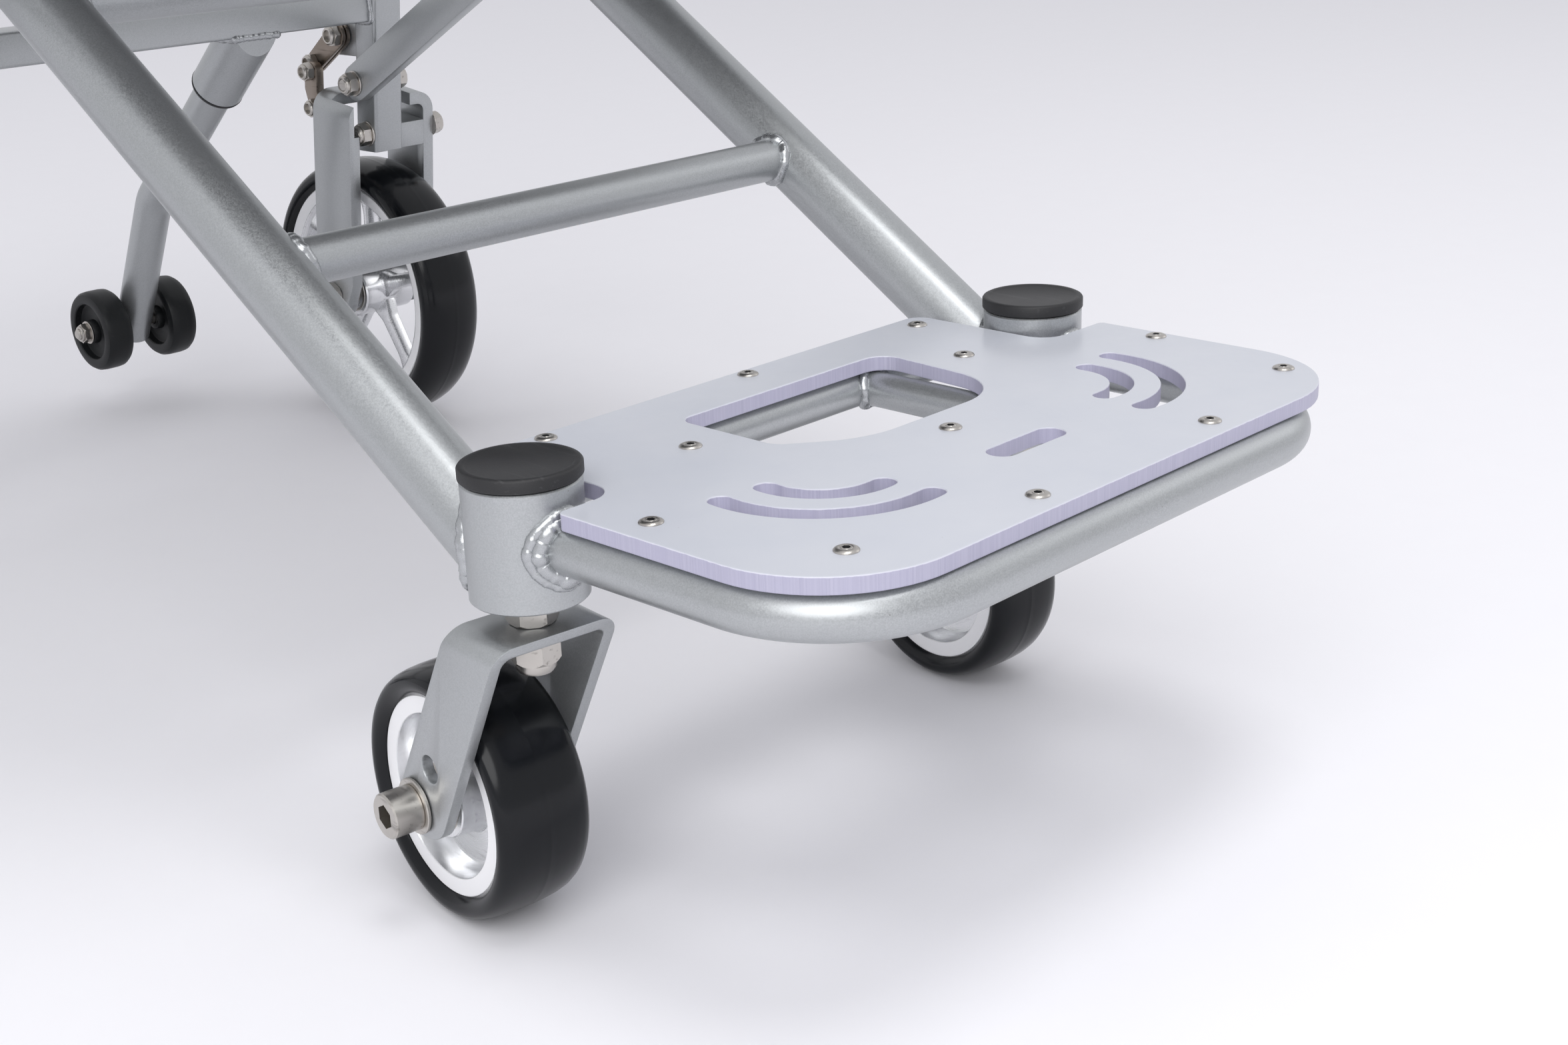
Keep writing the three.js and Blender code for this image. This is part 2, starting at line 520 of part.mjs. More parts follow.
// The catch: a lever on the lug of each post, whose knee meets the arm on the fork
for (const [name, side] of sides) {
  const { y, z, length, drop } = catchLever;
  const x = sideHalf - 7 - gap;
  const shape = new THREE.Shape().absarc(0, 0, 8.5, Math.PI / 2, Math.PI * 1.5);
  shape.lineTo(length, -7.5).absarc(length, 0, 7.5, -Math.PI / 2, Math.PI / 2);
  const flat = sideSlab(shape, -5.5, 5.5).rotate([-drop, 0, 0]).translate([x, y, z]);
  const nut = hexAlongX(x - 13, y, z, smallBolt.nut, 8);
  addPart(frame, `catch_lever_${name}`, mirrored(flat.add(nut), side), brownSteel);
}

// Anti-tip legs: a bent tube that slides in each sleeve, with two small wheels on a cross axle
function antitipTube() {
  const { y, z, wide, offset } = antitipWheel;
  const corners = [sleevePoint(22), sleevePoint(antitip.bendAt), v(antitip.x, y, z)];
  const reach = offset + wide / 2;
  const axle = alongX(antitip.x - reach - 9, antitip.x + reach + 9, y, z, smallBolt.radius, 12);
  const nuts = [-reach - gap - 6, reach + gap].map(x => hexAlongX(antitip.x + x, y, z, smallBolt.nut, 6));
  return joined(bentBar(corners, antitip.bend, antitip.tube, 14), axle, ...nuts);
}

for (const [name, side] of sides) {
  addPart(frame, `antitip_tube_${name}`, mirrored(antitipTube(), side), silver);
  for (const [place, way] of [['inner', -1], ['outer', 1]]) {
    const { y, z, radius, wide, offset } = antitipWheel;
    const half = wide / 2;
    const solid = turnedAboutX([[smallBolt.radius + gap, -half], [radius - 3, -half], [radius, -half + 3],
      [radius, half - 3], [radius - 3, half], [smallBolt.radius + gap, half]], 20);
    const x = side * (antitip.x + way * offset);
    addPart(frame, `antitip_wheel_${name}_${place}`, solid.translate([x, y, z]), tyreBlack);
  }
}

export default chair;
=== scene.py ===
from math import atan, cos, pi, radians, sin, tan

import bmesh
import bpy
from mathutils import Matrix, Vector, noise


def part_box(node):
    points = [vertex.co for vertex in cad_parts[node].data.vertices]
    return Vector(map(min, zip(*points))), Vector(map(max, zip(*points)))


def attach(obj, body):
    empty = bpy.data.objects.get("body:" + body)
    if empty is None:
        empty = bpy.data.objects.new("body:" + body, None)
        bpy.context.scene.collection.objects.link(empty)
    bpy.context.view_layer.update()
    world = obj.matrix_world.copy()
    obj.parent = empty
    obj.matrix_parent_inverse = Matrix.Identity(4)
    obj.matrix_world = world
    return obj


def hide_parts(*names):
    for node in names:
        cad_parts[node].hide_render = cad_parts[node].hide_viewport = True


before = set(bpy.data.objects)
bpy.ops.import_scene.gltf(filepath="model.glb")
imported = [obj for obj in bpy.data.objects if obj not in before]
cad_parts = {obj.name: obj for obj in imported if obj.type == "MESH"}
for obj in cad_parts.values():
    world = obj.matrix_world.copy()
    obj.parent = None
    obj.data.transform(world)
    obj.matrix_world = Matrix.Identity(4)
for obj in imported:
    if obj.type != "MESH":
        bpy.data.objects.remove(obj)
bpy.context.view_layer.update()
chairScene = bpy.context.scene
sides = {"right": -1, "left": 1}
noise.seed_set(7)                                      # the weld beads come out the same on each run


def middleOf(node):
    low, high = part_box(node)
    return (low + high) / 2


# The camera looks down and across the footrest from the right front
cameraSet = {"place": (-0.5680, -0.8655, 0.4104), "yaw": 0.80204, "pitch": 0.34695,
             "roll": -0.03724, "lens": 47.28, "sensor": 36}
lensData = bpy.data.cameras.new("chairCamera")
lensData.lens = cameraSet["lens"]
lensData.sensor_width = cameraSet["sensor"]
lensData.clip_end = 40
chairCamera = bpy.data.objects.new("chairCamera", lensData)
chairScene.collection.objects.link(chairCamera)
chairCamera.matrix_world = (Matrix.Translation(cameraSet["place"])
                            @ Matrix.Rotation(-cameraSet["yaw"], 4, "Z")
                            @ Matrix.Rotation(pi / 2 - cameraSet["pitch"], 4, "X")
                            @ Matrix.Rotation(cameraSet["roll"], 4, "Z"))
chairScene.camera = chairCamera
chairScene.view_settings.view_transform = "Standard"
print("camera set")


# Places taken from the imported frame
stem = middleOf("head_tube_left")                      # left caster stem, +X side
headLow, headHigh = (corner.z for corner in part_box("head_tube_left"))
hinge = middleOf("hinge_bolt_left")
rearAxle = middleOf("rear_tyre_left")
casterAxle = {name: middleOf(f"caster_tyre_{name}") for name in sides}
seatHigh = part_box("seat_frame")[1]
railLow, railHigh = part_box("rear_cross_rail")
postX = 0.243
postFoot = {"y": 0.611, "z": 0.199}
postLean = 0.14                                        # how far the posts lean forward for each metre up
seatTube = 0.0125
runGap = 0.0003                                        # air left between parts that move or butt



def inChair(x, y, z):
    # y is measured from the caster stems
    return Vector((x, stem.y + y, z))


def atStem(side):
    return Matrix.Translation(inChair(side * stem.x, 0, 0))


def raised(height):
    return Matrix.Translation((0, 0, height))


# Shader groups shared by the materials
def newGroup(name, inputs, outputs):
    tree = bpy.data.node_groups.new(name, "ShaderNodeTree")
    for label, kind, value in inputs:
        socket = tree.interface.new_socket(label, in_out="INPUT", socket_type="NodeSocket" + kind)
        socket.default_value = value
    for label, kind in outputs:
        tree.interface.new_socket(label, in_out="OUTPUT", socket_type="NodeSocket" + kind)
    return tree, tree.nodes.new("NodeGroupInput"), tree.nodes.new("NodeGroupOutput")


def addNode(tree, kind, **settings):
    node = tree.nodes.new("ShaderNode" + kind)
    for key, value in settings.items():
        if key in node.inputs:
            node.inputs[key].default_value = value
        else:
            setattr(node, key, value)
    return node


def mathNode(tree, operation, first, second=None, third=None):
    node = tree.nodes.new("ShaderNodeMath")
    node.operation = operation
    for socket, value in zip(node.inputs, (first, second, third)):
        if isinstance(value, (int, float)):
            socket.default_value = value
        elif value is not None:
            tree.links.new(value, socket)
    return node.outputs[0]


def rampNode(tree, factor, *stops):
    node = tree.nodes.new("ShaderNodeValToRGB")
    while len(node.color_ramp.elements) < len(stops):
        node.color_ramp.elements.new(0.5)
    for element, (position, value) in zip(node.color_ramp.elements, stops):
        element.position = position
        element.color = (value, value, value, 1) if isinstance(value, (int, float)) else (*value, 1)
    tree.links.new(factor, node.inputs[0])
    return node.outputs[0]


def noiseNode(tree, vector, scale, detail=2.0, roughness=0.5):
    node = tree.nodes.new("ShaderNodeTexNoise")
    node.inputs["Scale"].default_value = scale
    node.inputs["Detail"].default_value = detail
    node.inputs["Roughness"].default_value = roughness
    tree.links.new(vector, node.inputs["Vector"])
    return node.outputs["Fac"]


def flakeGroup():
    # Metal flakes and orange peel of a powder coat, with a few dark dust specks
    tree, entry, leave = newGroup("powderCoat", [("Vector", "Vector", (0, 0, 0))],
                                  [("Flake", "Float"), ("Peel", "Float"), ("Dust", "Float"),
                                   ("Cloud", "Float")])
    place = entry.outputs["Vector"]
    cells = addNode(tree, "TexVoronoi", Scale=2600.0)
    tree.links.new(place, cells.inputs["Vector"])
    tone = addNode(tree, "SeparateColor")
    tree.links.new(cells.outputs["Color"], tone.inputs[0])
    tree.links.new(tone.outputs[0], leave.inputs["Flake"])
    peel = mathNode(tree, "ADD", noiseNode(tree, place, 700.0, 3.0),
                    mathNode(tree, "MULTIPLY", noiseNode(tree, place, 160.0, 1.0), 0.8))
    tree.links.new(peel, leave.inputs["Peel"])
    spots = addNode(tree, "TexVoronoi", Scale=85.0)
    tree.links.new(place, spots.inputs["Vector"])
    tree.links.new(rampNode(tree, spots.outputs["Distance"], (0.012, 1.0), (0.024, 0.0)),
                   leave.inputs["Dust"])
    tree.links.new(noiseNode(tree, place, 14.0, 4.0), leave.inputs["Cloud"])
    return tree


def scuffGroup():
    # Hair-fine handling marks, a broad tone change, and a fine moulded grain
    tree, entry, leave = newGroup("handling", [("Vector", "Vector", (0, 0, 0)), ("Grain", "Float", 900.0)],
                                  [("Marks", "Float"), ("Tone", "Float"), ("Grain", "Float")])
    place = entry.outputs["Vector"]
    stretch = addNode(tree, "Mapping")
    stretch.inputs["Scale"].default_value = (1, 0.06, 1)
    stretch.inputs["Rotation"].default_value = (0.4, 0.3, 0.7)
    tree.links.new(place, stretch.inputs["Vector"])
    lines = noiseNode(tree, stretch.outputs[0], 500.0, 3.0)
    tree.links.new(rampNode(tree, lines, (0.6, 0.0), (0.74, 1.0)), leave.inputs["Marks"])
    tree.links.new(noiseNode(tree, place, 30.0, 4.0, 0.6), leave.inputs["Tone"])
    grain = addNode(tree, "TexNoise", Detail=2.0)
    tree.links.new(place, grain.inputs["Vector"])
    tree.links.new(entry.outputs["Grain"], grain.inputs["Scale"])
    tree.links.new(grain.outputs["Fac"], leave.inputs["Grain"])
    return tree


def lathedGroup():
    # Turning marks: rings about the X axis of the vector handed in
    tree, entry, leave = newGroup("turningMarks", [("Vector", "Vector", (0, 0, 0)),
                                                   ("Pitch", "Float", 2600.0)],
                                  [("Rings", "Float"), ("Radius", "Float")])
    parts = addNode(tree, "SeparateXYZ")
    tree.links.new(entry.outputs["Vector"], parts.inputs[0])
    square = mathNode(tree, "ADD", mathNode(tree, "MULTIPLY", parts.outputs["Y"], parts.outputs["Y"]),
                      mathNode(tree, "MULTIPLY", parts.outputs["Z"], parts.outputs["Z"]))
    radius = mathNode(tree, "SQRT", square)
    rings = addNode(tree, "TexNoise", noise_dimensions="1D", Scale=1.0, Detail=3.0)
    tree.links.new(mathNode(tree, "MULTIPLY", radius, entry.outputs["Pitch"]), rings.inputs["W"])
    tree.links.new(rings.outputs["Fac"], leave.inputs["Rings"])
    tree.links.new(radius, leave.inputs["Radius"])
    return tree


def sawnGroup():
    # Upright streaks on a sawn edge, and how near the point is to the top of the plate
    tree, entry, leave = newGroup("sawnEdge", [("Vector", "Vector", (0, 0, 0)), ("Top", "Float", 0.0)],
                                  [("Streaks", "Float"), ("Bands", "Float"), ("Lip", "Float")])
    for label, scale, flat in (("Streaks", 1500.0, 0.012), ("Bands", 150.0, 0.05)):
        squash = addNode(tree, "Mapping")
        squash.inputs["Scale"].default_value = (1, 1, flat)
        tree.links.new(entry.outputs["Vector"], squash.inputs["Vector"])
        tree.links.new(noiseNode(tree, squash.outputs[0], scale, 3.0, 0.6), leave.inputs[label])
    parts = addNode(tree, "SeparateXYZ")
    tree.links.new(entry.outputs["Vector"], parts.inputs[0])
    drop = mathNode(tree, "SUBTRACT", entry.outputs["Top"], parts.outputs["Z"])
    ragged = mathNode(tree, "MULTIPLY", noiseNode(tree, entry.outputs["Vector"], 350.0, 3.0), 0.0006)
    tree.links.new(rampNode(tree, mathNode(tree, "MULTIPLY", mathNode(tree, "SUBTRACT", drop, ragged), 1000),
                            (0.0, 1.0), (0.25, 0.0)), leave.inputs["Lip"])
    return tree


def weaveGroup():
    # Plain weave from two crossing waves in the XY plane of the vector handed in
    tree, entry, leave = newGroup("plainWeave", [("Vector", "Vector", (0, 0, 0)),
                                                 ("Threads", "Float", 1400.0)],
                                  [("Height", "Float"), ("Fuzz", "Float")])
    parts = addNode(tree, "SeparateXYZ")
    tree.links.new(entry.outputs["Vector"], parts.inputs[0])
    waves = [mathNode(tree, "SINE", mathNode(tree, "MULTIPLY", parts.outputs[axis], entry.outputs["Threads"]))
             for axis in ("X", "Y")]
    tree.links.new(mathNode(tree, "MULTIPLY_ADD", mathNode(tree, "MULTIPLY", *waves), 0.5, 0.5),
                   leave.inputs["Height"])
    tree.links.new(noiseNode(tree, entry.outputs["Vector"], 420.0, 5.0, 0.7), leave.inputs["Fuzz"])
    return tree


groups = {"coat": flakeGroup(), "handling": scuffGroup(), "lathed": lathedGroup(),
          "sawn": sawnGroup(), "weave": weaveGroup()}


class Finish:
    # One material: its Principled shader, its Object coordinates, and short ways to wire them
    def __init__(self, name, **values):
        self.material = bpy.data.materials.new(name)
        self.material.use_nodes = True
        self.tree = self.material.node_tree
        self.shader = self.tree.nodes["Principled BSDF"]
        for label, value in values.items():
            self.shader.inputs[label.replace("_", " ")].default_value = value
        self.place = addNode(self.tree, "TexCoord").outputs["Object"]

    def group(self, key, vector=None, **values):
        node = self.tree.nodes.new("ShaderNodeGroup")
        node.node_tree = groups[key]
        for label, value in values.items():
            node.inputs[label].default_value = value
        self.tree.links.new(vector or self.place, node.inputs["Vector"])
        return node.outputs

    def centred(self, centre, turn=(0, 0, 0)):
        node = addNode(self.tree, "Mapping", vector_type="TEXTURE")
        node.inputs["Location"].default_value = centre
        node.inputs["Rotation"].default_value = turn
        self.tree.links.new(self.place, node.inputs["Vector"])
        return node.outputs[0]

    def mix(self, factor, first, second, label="Base Color"):
        node = addNode(self.tree, "Mix", data_type="RGBA")
        for socket, value in zip((node.inputs[0], node.inputs[6], node.inputs[7]), (factor, first, second)):
            if isinstance(value, (int, float)):
                socket.default_value = value
            elif isinstance(value, tuple):
                socket.default_value = (*value, 1)
            else:
                self.tree.links.new(value, socket)
        if label:
            self.tree.links.new(node.outputs[2], self.shader.inputs[label])
        return node.outputs[2]

    def spread(self, value, low, high, label):
        node = addNode(self.tree, "MapRange")
        node.inputs["To Min"].default_value = low
        node.inputs["To Max"].default_value = high
        self.tree.links.new(value, node.inputs["Value"])
        self.tree.links.new(node.outputs[0], self.shader.inputs[label])

    def bump(self, height, strength, distance):
        node = addNode(self.tree, "Bump", Strength=strength, Distance=distance)
        self.tree.links.new(height, node.inputs["Height"])
        self.tree.links.new(node.outputs[0], self.shader.inputs["Normal"])


def silverPaint():
    finish = Finish("silverPaint", Metallic=0.82, Coat_Weight=0.12, Coat_Roughness=0.22)
    coat = finish.group("coat")
    base = finish.mix(coat["Flake"], (0.355, 0.367, 0.378), (0.50, 0.515, 0.528), None)
    cloud = finish.mix(coat["Cloud"], base, (0.43, 0.445, 0.45), None)
    finish.mix(coat["Dust"], cloud, (0.24, 0.23, 0.22))
    finish.spread(coat["Flake"], 0.33, 0.45, "Roughness")
    finish.bump(coat["Peel"], 0.5, 0.00006)
    return finish.material


def weldMetal():
    finish = Finish("weldMetal", Metallic=0.85)
    coat = finish.group("coat")
    finish.mix(coat["Cloud"], (0.37, 0.38, 0.39), (0.50, 0.515, 0.528))
    finish.spread(coat["Flake"], 0.24, 0.36, "Roughness")
    finish.bump(coat["Peel"], 0.35, 0.0002)
    return finish.material


def blackMoulded(name, dark, light, rough, grain, depth, tint=0.0, shine=0.5):
    finish = Finish(name, Specular_IOR_Level=shine)
    marks = finish.group("handling", Grain=grain)
    base = finish.mix(marks["Tone"], dark, light, None)
    finish.mix(marks["Marks"], base, tuple(c + tint for c in light))
    finish.spread(marks["Tone"], *rough, "Roughness")
    finish.bump(marks["Grain"], 0.6, depth)
    return finish.material


def turnedAlloy(name, centre, heading, whiteFrom):
    # Bright turned aluminium; the outer face ring is fine-machined and reads almost white
    finish = Finish(name, Metallic=1.0)
    vector = finish.centred(centre, (0, 0, heading))
    rings = finish.group("lathed", vector, Pitch=2400.0)
    marks = finish.group("handling", Grain=700.0)
    base = finish.mix(rings["Rings"], (0.74, 0.745, 0.76), (0.86, 0.865, 0.875), None)
    marked = finish.mix(marks["Marks"], base, (0.62, 0.62, 0.63), None)
    ring = mathNode(finish.tree, "GREATER_THAN", rings["Radius"], whiteFrom)
    finish.mix(ring, marked, (0.90, 0.90, 0.91))
    rough = mathNode(finish.tree, "MULTIPLY_ADD", ring, 0.26, mathNode(
        finish.tree, "MULTIPLY_ADD", rings["Rings"], 0.12, 0.20))
    finish.tree.links.new(rough, finish.shader.inputs["Roughness"])
    finish.spread(ring, 1.0, 0.4, "Metallic")
    finish.bump(rings["Rings"], 0.25, 0.00003)
    return finish.material


def steel(name, dark, light, rough):
    finish = Finish(name, Metallic=1.0)
    marks = finish.group("handling", Grain=2200.0)
    base = finish.mix(marks["Tone"], dark, light, None)
    finish.mix(marks["Marks"], base, tuple(c * 0.8 for c in dark))
    finish.spread(marks["Tone"], *rough, "Roughness")
    finish.bump(marks["Grain"], 0.3, 0.00004)
    return finish.material


def plateFilm():
    finish = Finish("plateFilm", IOR=1.49, Coat_Weight=0.35, Coat_Roughness=0.18)
    marks = finish.group("handling", Grain=240.0)
    coat = finish.group("coat")
    base = finish.mix(marks["Tone"], (0.50, 0.522, 0.585), (0.57, 0.583, 0.628), None)
    finish.mix(coat["Dust"], base, (0.44, 0.43, 0.44))
    finish.spread(marks["Grain"], 0.28, 0.42, "Roughness")
    finish.bump(coat["Cloud"], 0.15, 0.001)
    return finish.material


def plateSawnEdge(top):
    finish = Finish("plateSawnEdge", IOR=1.49)
    sawn = finish.group("sawn", Top=top)
    streak = finish.mix(sawn["Streaks"], (0.25, 0.24, 0.35), (0.56, 0.55, 0.65), None)
    banded = finish.mix(sawn["Bands"], streak, (0.40, 0.39, 0.51), None)
    finish.mix(sawn["Lip"], banded, (0.60, 0.60, 0.67))
    finish.spread(sawn["Streaks"], 0.25, 0.55, "Roughness")
    finish.bump(sawn["Streaks"], 0.6, 0.0002)
    return finish.material


def slingCloth(name, turn):
    finish = Finish(name, Sheen_Weight=0.35, Sheen_Roughness=0.4)
    weave = finish.group("weave", finish.centred((0, 0, 0), turn))
    # The weave's low points are painted darker: painted shade in the hollows between threads
    base = finish.mix(weave["Height"], (0.012, 0.013, 0.016), (0.040, 0.042, 0.050), None)
    finish.mix(weave["Fuzz"], base, (0.058, 0.060, 0.068))
    finish.spread(weave["Fuzz"], 0.72, 0.95, "Roughness")
    finish.bump(weave["Height"], 0.8, 0.0005)
    return finish.material


def floorPaper():
    finish = Finish("floorPaper", Roughness=0.75, Specular_IOR_Level=0.2)
    marks = finish.group("handling", Grain=60.0)
    finish.mix(marks["Tone"], (0.845, 0.838, 0.868), (0.860, 0.853, 0.882))
    return finish.material


paint = silverPaint()
weld = weldMetal()
nickel = steel("nickelSteel", (0.40, 0.375, 0.345), (0.62, 0.595, 0.56), (0.22, 0.38))
brownSteel = steel("brownSteel", (0.19, 0.155, 0.125), (0.36, 0.31, 0.27), (0.25, 0.45))
tyreRubber = blackMoulded("tyreRubber", (0.003, 0.0035, 0.0045), (0.006, 0.007, 0.009), (0.13, 0.22), 1600.0,
                          0.00001, shine=0.28)
smallWheelPlastic = blackMoulded("smallWheelPlastic", (0.004, 0.005, 0.006), (0.010, 0.011, 0.012),
                                 (0.36, 0.50), 1300.0, 0.00005, shine=0.3)
capPlastic = blackMoulded("capPlastic", (0.014, 0.014, 0.015), (0.028, 0.028, 0.030), (0.42, 0.58),
                          2200.0, 0.00012, tint=0.012, shine=0.36)
gripRubber = blackMoulded("gripRubber", (0.012, 0.012, 0.013), (0.03, 0.03, 0.032), (0.6, 0.8), 1200.0,
                          0.00025)
film = plateFilm()
print("materials made")


# Modelling helpers. Each maker returns a bmesh in its own coordinates, and place() adds it to a piece
acrossX = Matrix(((0, 0, 1, 0), (1, 0, 0, 0), (0, 1, 0, 0), (0, 0, 0, 1)))     # local Z lies along X
facingY = Matrix.Rotation(pi / 2, 4, "X")                                       # local XY stands in XZ
turnOver = Matrix.Rotation(pi, 4, "X")
xAxis, upAxis = Vector((1, 0, 0)), Vector((0, 0, 1))


def place(target, part, matrix=Matrix()):
    bmesh.ops.remove_doubles(part, verts=part.verts, dist=1e-6)
    bmesh.ops.recalc_face_normals(part, faces=part.faces)
    part.transform(matrix)
    carrier = bpy.data.meshes.new("carrier")
    part.to_mesh(carrier)
    part.free()
    target.from_mesh(carrier)
    bpy.data.meshes.remove(carrier)


def assembled(parts):
    # Each part is a bmesh, or a bmesh with the matrix that places it
    piece = bmesh.new()
    for part in parts:
        place(piece, *(part if isinstance(part, tuple) else (part,)))
    return piece


def finishPiece(name, part, materials, replaced=(), body="frame", mirrored=False, smooth=35):
    part = assembled(part) if isinstance(part, list) else part
    if mirrored:
        bmesh.ops.scale(part, vec=(-1, 1, 1), verts=part.verts)
        bmesh.ops.reverse_faces(part, faces=part.faces)
    mesh = bpy.data.meshes.new(name)
    part.to_mesh(mesh)
    part.free()
    for material in materials if isinstance(materials, list) else [materials]:
        mesh.materials.append(material)
    mesh.polygons.foreach_set("use_smooth", [True] * len(mesh.polygons))
    mesh.set_sharp_from_angle(angle=radians(smooth))
    piece = bpy.data.objects.new(name, mesh)
    chairScene.collection.objects.link(piece)
    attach(piece, body)
    if replaced:
        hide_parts(*replaced)
    return piece


def turned(profile, steps=56):
    # A closed or axis-to-axis profile of (radius, height) spun about Z
    part = bmesh.new()
    verts = [part.verts.new((radius, 0, height)) for radius, height in profile]
    pairs = list(zip(verts, verts[1:]))
    if profile[0][0] > 0:
        pairs.append((verts[-1], verts[0]))
    edges = [part.edges.new(pair) for pair in pairs]
    bmesh.ops.spin(part, geom=verts + edges, cent=(0, 0, 0), axis=(0, 0, 1), angle=2 * pi, steps=steps,
                   use_merge=True)
    return part


def rounded(corners, steps=6):
    # An outline whose corners (x, y, radius) are filleted
    points = []
    count = len(corners)
    for i, (x, y, radius) in enumerate(corners):
        here = Vector((x, y))
        if radius <= 0:
            points.append(here)
            continue
        back = (Vector(corners[i - 1][:2]) - here).normalized()
        ahead = (Vector(corners[(i + 1) % count][:2]) - here).normalized()
        half = back.angle(ahead) / 2
        reach = min(radius / tan(half), (Vector(corners[i - 1][:2]) - here).length * 0.5,
                    (Vector(corners[(i + 1) % count][:2]) - here).length * 0.5)
        centre = here + (back + ahead).normalized() * (reach / cos(half))
        first = here + back * reach - centre
        sweepAngle = first.angle_signed(here + ahead * reach - centre)
        for k in range(steps + 1):
            points.append(centre + Matrix.Rotation(-sweepAngle * k / steps, 2) @ first)
    return [(p.x, p.y) for p in points]


def prism(outline, thick, holes=()):
    part = bmesh.new()
    edges = []
    for loop in (outline, *holes):
        verts = [part.verts.new((x, y, 0)) for x, y in loop]
        edges += [part.edges.new(pair) for pair in zip(verts, verts[1:] + verts[:1])]
    bmesh.ops.triangle_fill(part, use_beauty=True, use_dissolve=False, edges=edges, normal=(0, 0, 1))
    lifted = bmesh.ops.extrude_face_region(part, geom=part.faces[:])
    bmesh.ops.translate(part, vec=(0, 0, thick),
                        verts=[g for g in lifted["geom"] if isinstance(g, bmesh.types.BMVert)])
    bmesh.ops.recalc_face_normals(part, faces=part.faces)
    return part


def soften(part, width, angle=35, segments=2):
    bmesh.ops.dissolve_limit(part, angle_limit=radians(0.5), verts=part.verts, edges=part.edges)
    edges = [e for e in part.edges if e.is_manifold and e.calc_face_angle(0) > radians(angle)]
    bmesh.ops.bevel(part, geom=edges, offset=width, affect="EDGES", segments=segments, profile=0.5,
                    material=-1, clamp_overlap=True)
    return part


def boolean(body, tool, operation="DIFFERENCE"):
    things = []
    for part in (body, tool):
        mesh = bpy.data.meshes.new("carrier")
        bmesh.ops.recalc_face_normals(part, faces=part.faces)
        part.to_mesh(mesh)
        part.free()
        thing = bpy.data.objects.new("carrier", mesh)
        chairScene.collection.objects.link(thing)
        things.append(thing)
    modifier = things[0].modifiers.new("cut", "BOOLEAN")
    modifier.object = things[1]
    modifier.operation = operation
    modifier.solver = "EXACT"
    result = bmesh.new()
    result.from_object(things[0], bpy.context.evaluated_depsgraph_get())
    for thing in things:
        mesh = thing.data
        bpy.data.objects.remove(thing)
        bpy.data.meshes.remove(mesh)
    return result


def ringMatrix(point, tangent, reference, size=1):
    across = reference.cross(tangent).normalized()
    up = tangent.cross(across)
    turn = Matrix((across, up, tangent)).transposed().to_4x4()
    return Matrix.Translation(point) @ turn @ Matrix.Scale(size, 4)


def sweep(points, radius, reference, steps=32, closed=False, swell=None):
    # A round section carried along points; swell(i) scales it at each one
    part = bmesh.new()
    count = len(points)
    matrices = []
    for i, point in enumerate(points):
        behind = points[i - 1] if closed or i else point
        ahead = points[(i + 1) % count] if closed or i < count - 1 else point
        matrices.append(ringMatrix(point, (ahead - behind).normalized(), reference, swell(i) if swell else 1))
    made = bmesh.ops.create_circle(part, cap_ends=False, radius=radius, segments=steps, matrix=matrices[0])
    ring = list({e for v in made["verts"] for e in v.link_edges})
    first = ring
    for last, matrix in zip(matrices, matrices[1:]):
        grown = bmesh.ops.extrude_edge_only(part, edges=ring)["geom"]
        ring = [g for g in grown if isinstance(g, bmesh.types.BMEdge) and g.is_boundary]
        newVerts = [g for g in grown if isinstance(g, bmesh.types.BMVert)]
        bmesh.ops.transform(part, matrix=matrix @ last.inverted(), verts=newVerts)
    if closed:
        bmesh.ops.bridge_loops(part, edges=first + ring)
    else:
        for loop in (first, ring):
            bmesh.ops.holes_fill(part, edges=loop, sides=0)
    return part


def bentPath(corners, bend, steps=10):
    points = [corners[0]]
    for before, corner, after in zip(corners, corners[1:], corners[2:]):
        into = (corner - before).normalized()
        out = (after - corner).normalized()
        turn = into.angle(out)
        axis = into.cross(out).normalized()
        start = corner - into * bend * tan(turn / 2)
        centre = start + axis.cross(into) * bend
        points += [centre + Matrix.Rotation(turn * i / steps, 3, axis) @ (start - centre)
                   for i in range(steps + 1)]
    return points + [corners[-1]]


def tube(start, end, radius, steps=40):
    along = (end - start).normalized()
    reference = upAxis if abs(along.z) < 0.9 else Vector((0, 1, 0))
    return sweep([start, end], radius, reference, steps)


def seamAround(start, along, radius, surface, count=160, reach=0.12):
    # Where a round bar from start meets another surface: each point slides along it until surface(p) >= 0
    across = along.orthogonal().normalized()
    points = []
    for i in range(count):
        spoke = Matrix.Rotation(2 * pi * i / count, 3, along) @ across
        low, high = 0.0, reach
        for _ in range(22):
            middle = (low + high) / 2
            if surface(start + spoke * radius + along * middle) < 0:
                low = middle
            else:
                high = middle
        points.append(start + spoke * radius + along * low)
    return points


def beadOn(points, reference, width=0.0032, pitch=0.0044, wander=0.18):
    # A weld bead of overlapping crescents laid along closed points
    count = len(points)
    length = sum((points[i] - points[i - 1]).length for i in range(count))
    ripples = max(6, round(length / pitch))
    shaken = [point + noise.noise_vector(point * 220) * width * 0.16 for point in points]

    def swell(i):
        phase = (ripples * i / count) % 1
        crescent = (1 - phase) ** 0.6 * min(1, phase * 6)
        return 0.88 + 0.14 * crescent + wander * noise.noise(points[i] * 240)
    return sweep(shaken, width, reference, 12, closed=True, swell=swell)


def outsideRound(centre, axis, radius):
    # Negative inside a long round bar, positive outside it
    def surface(point):
        offset = point - centre
        return (offset - axis * offset.dot(axis)).length - radius
    return surface


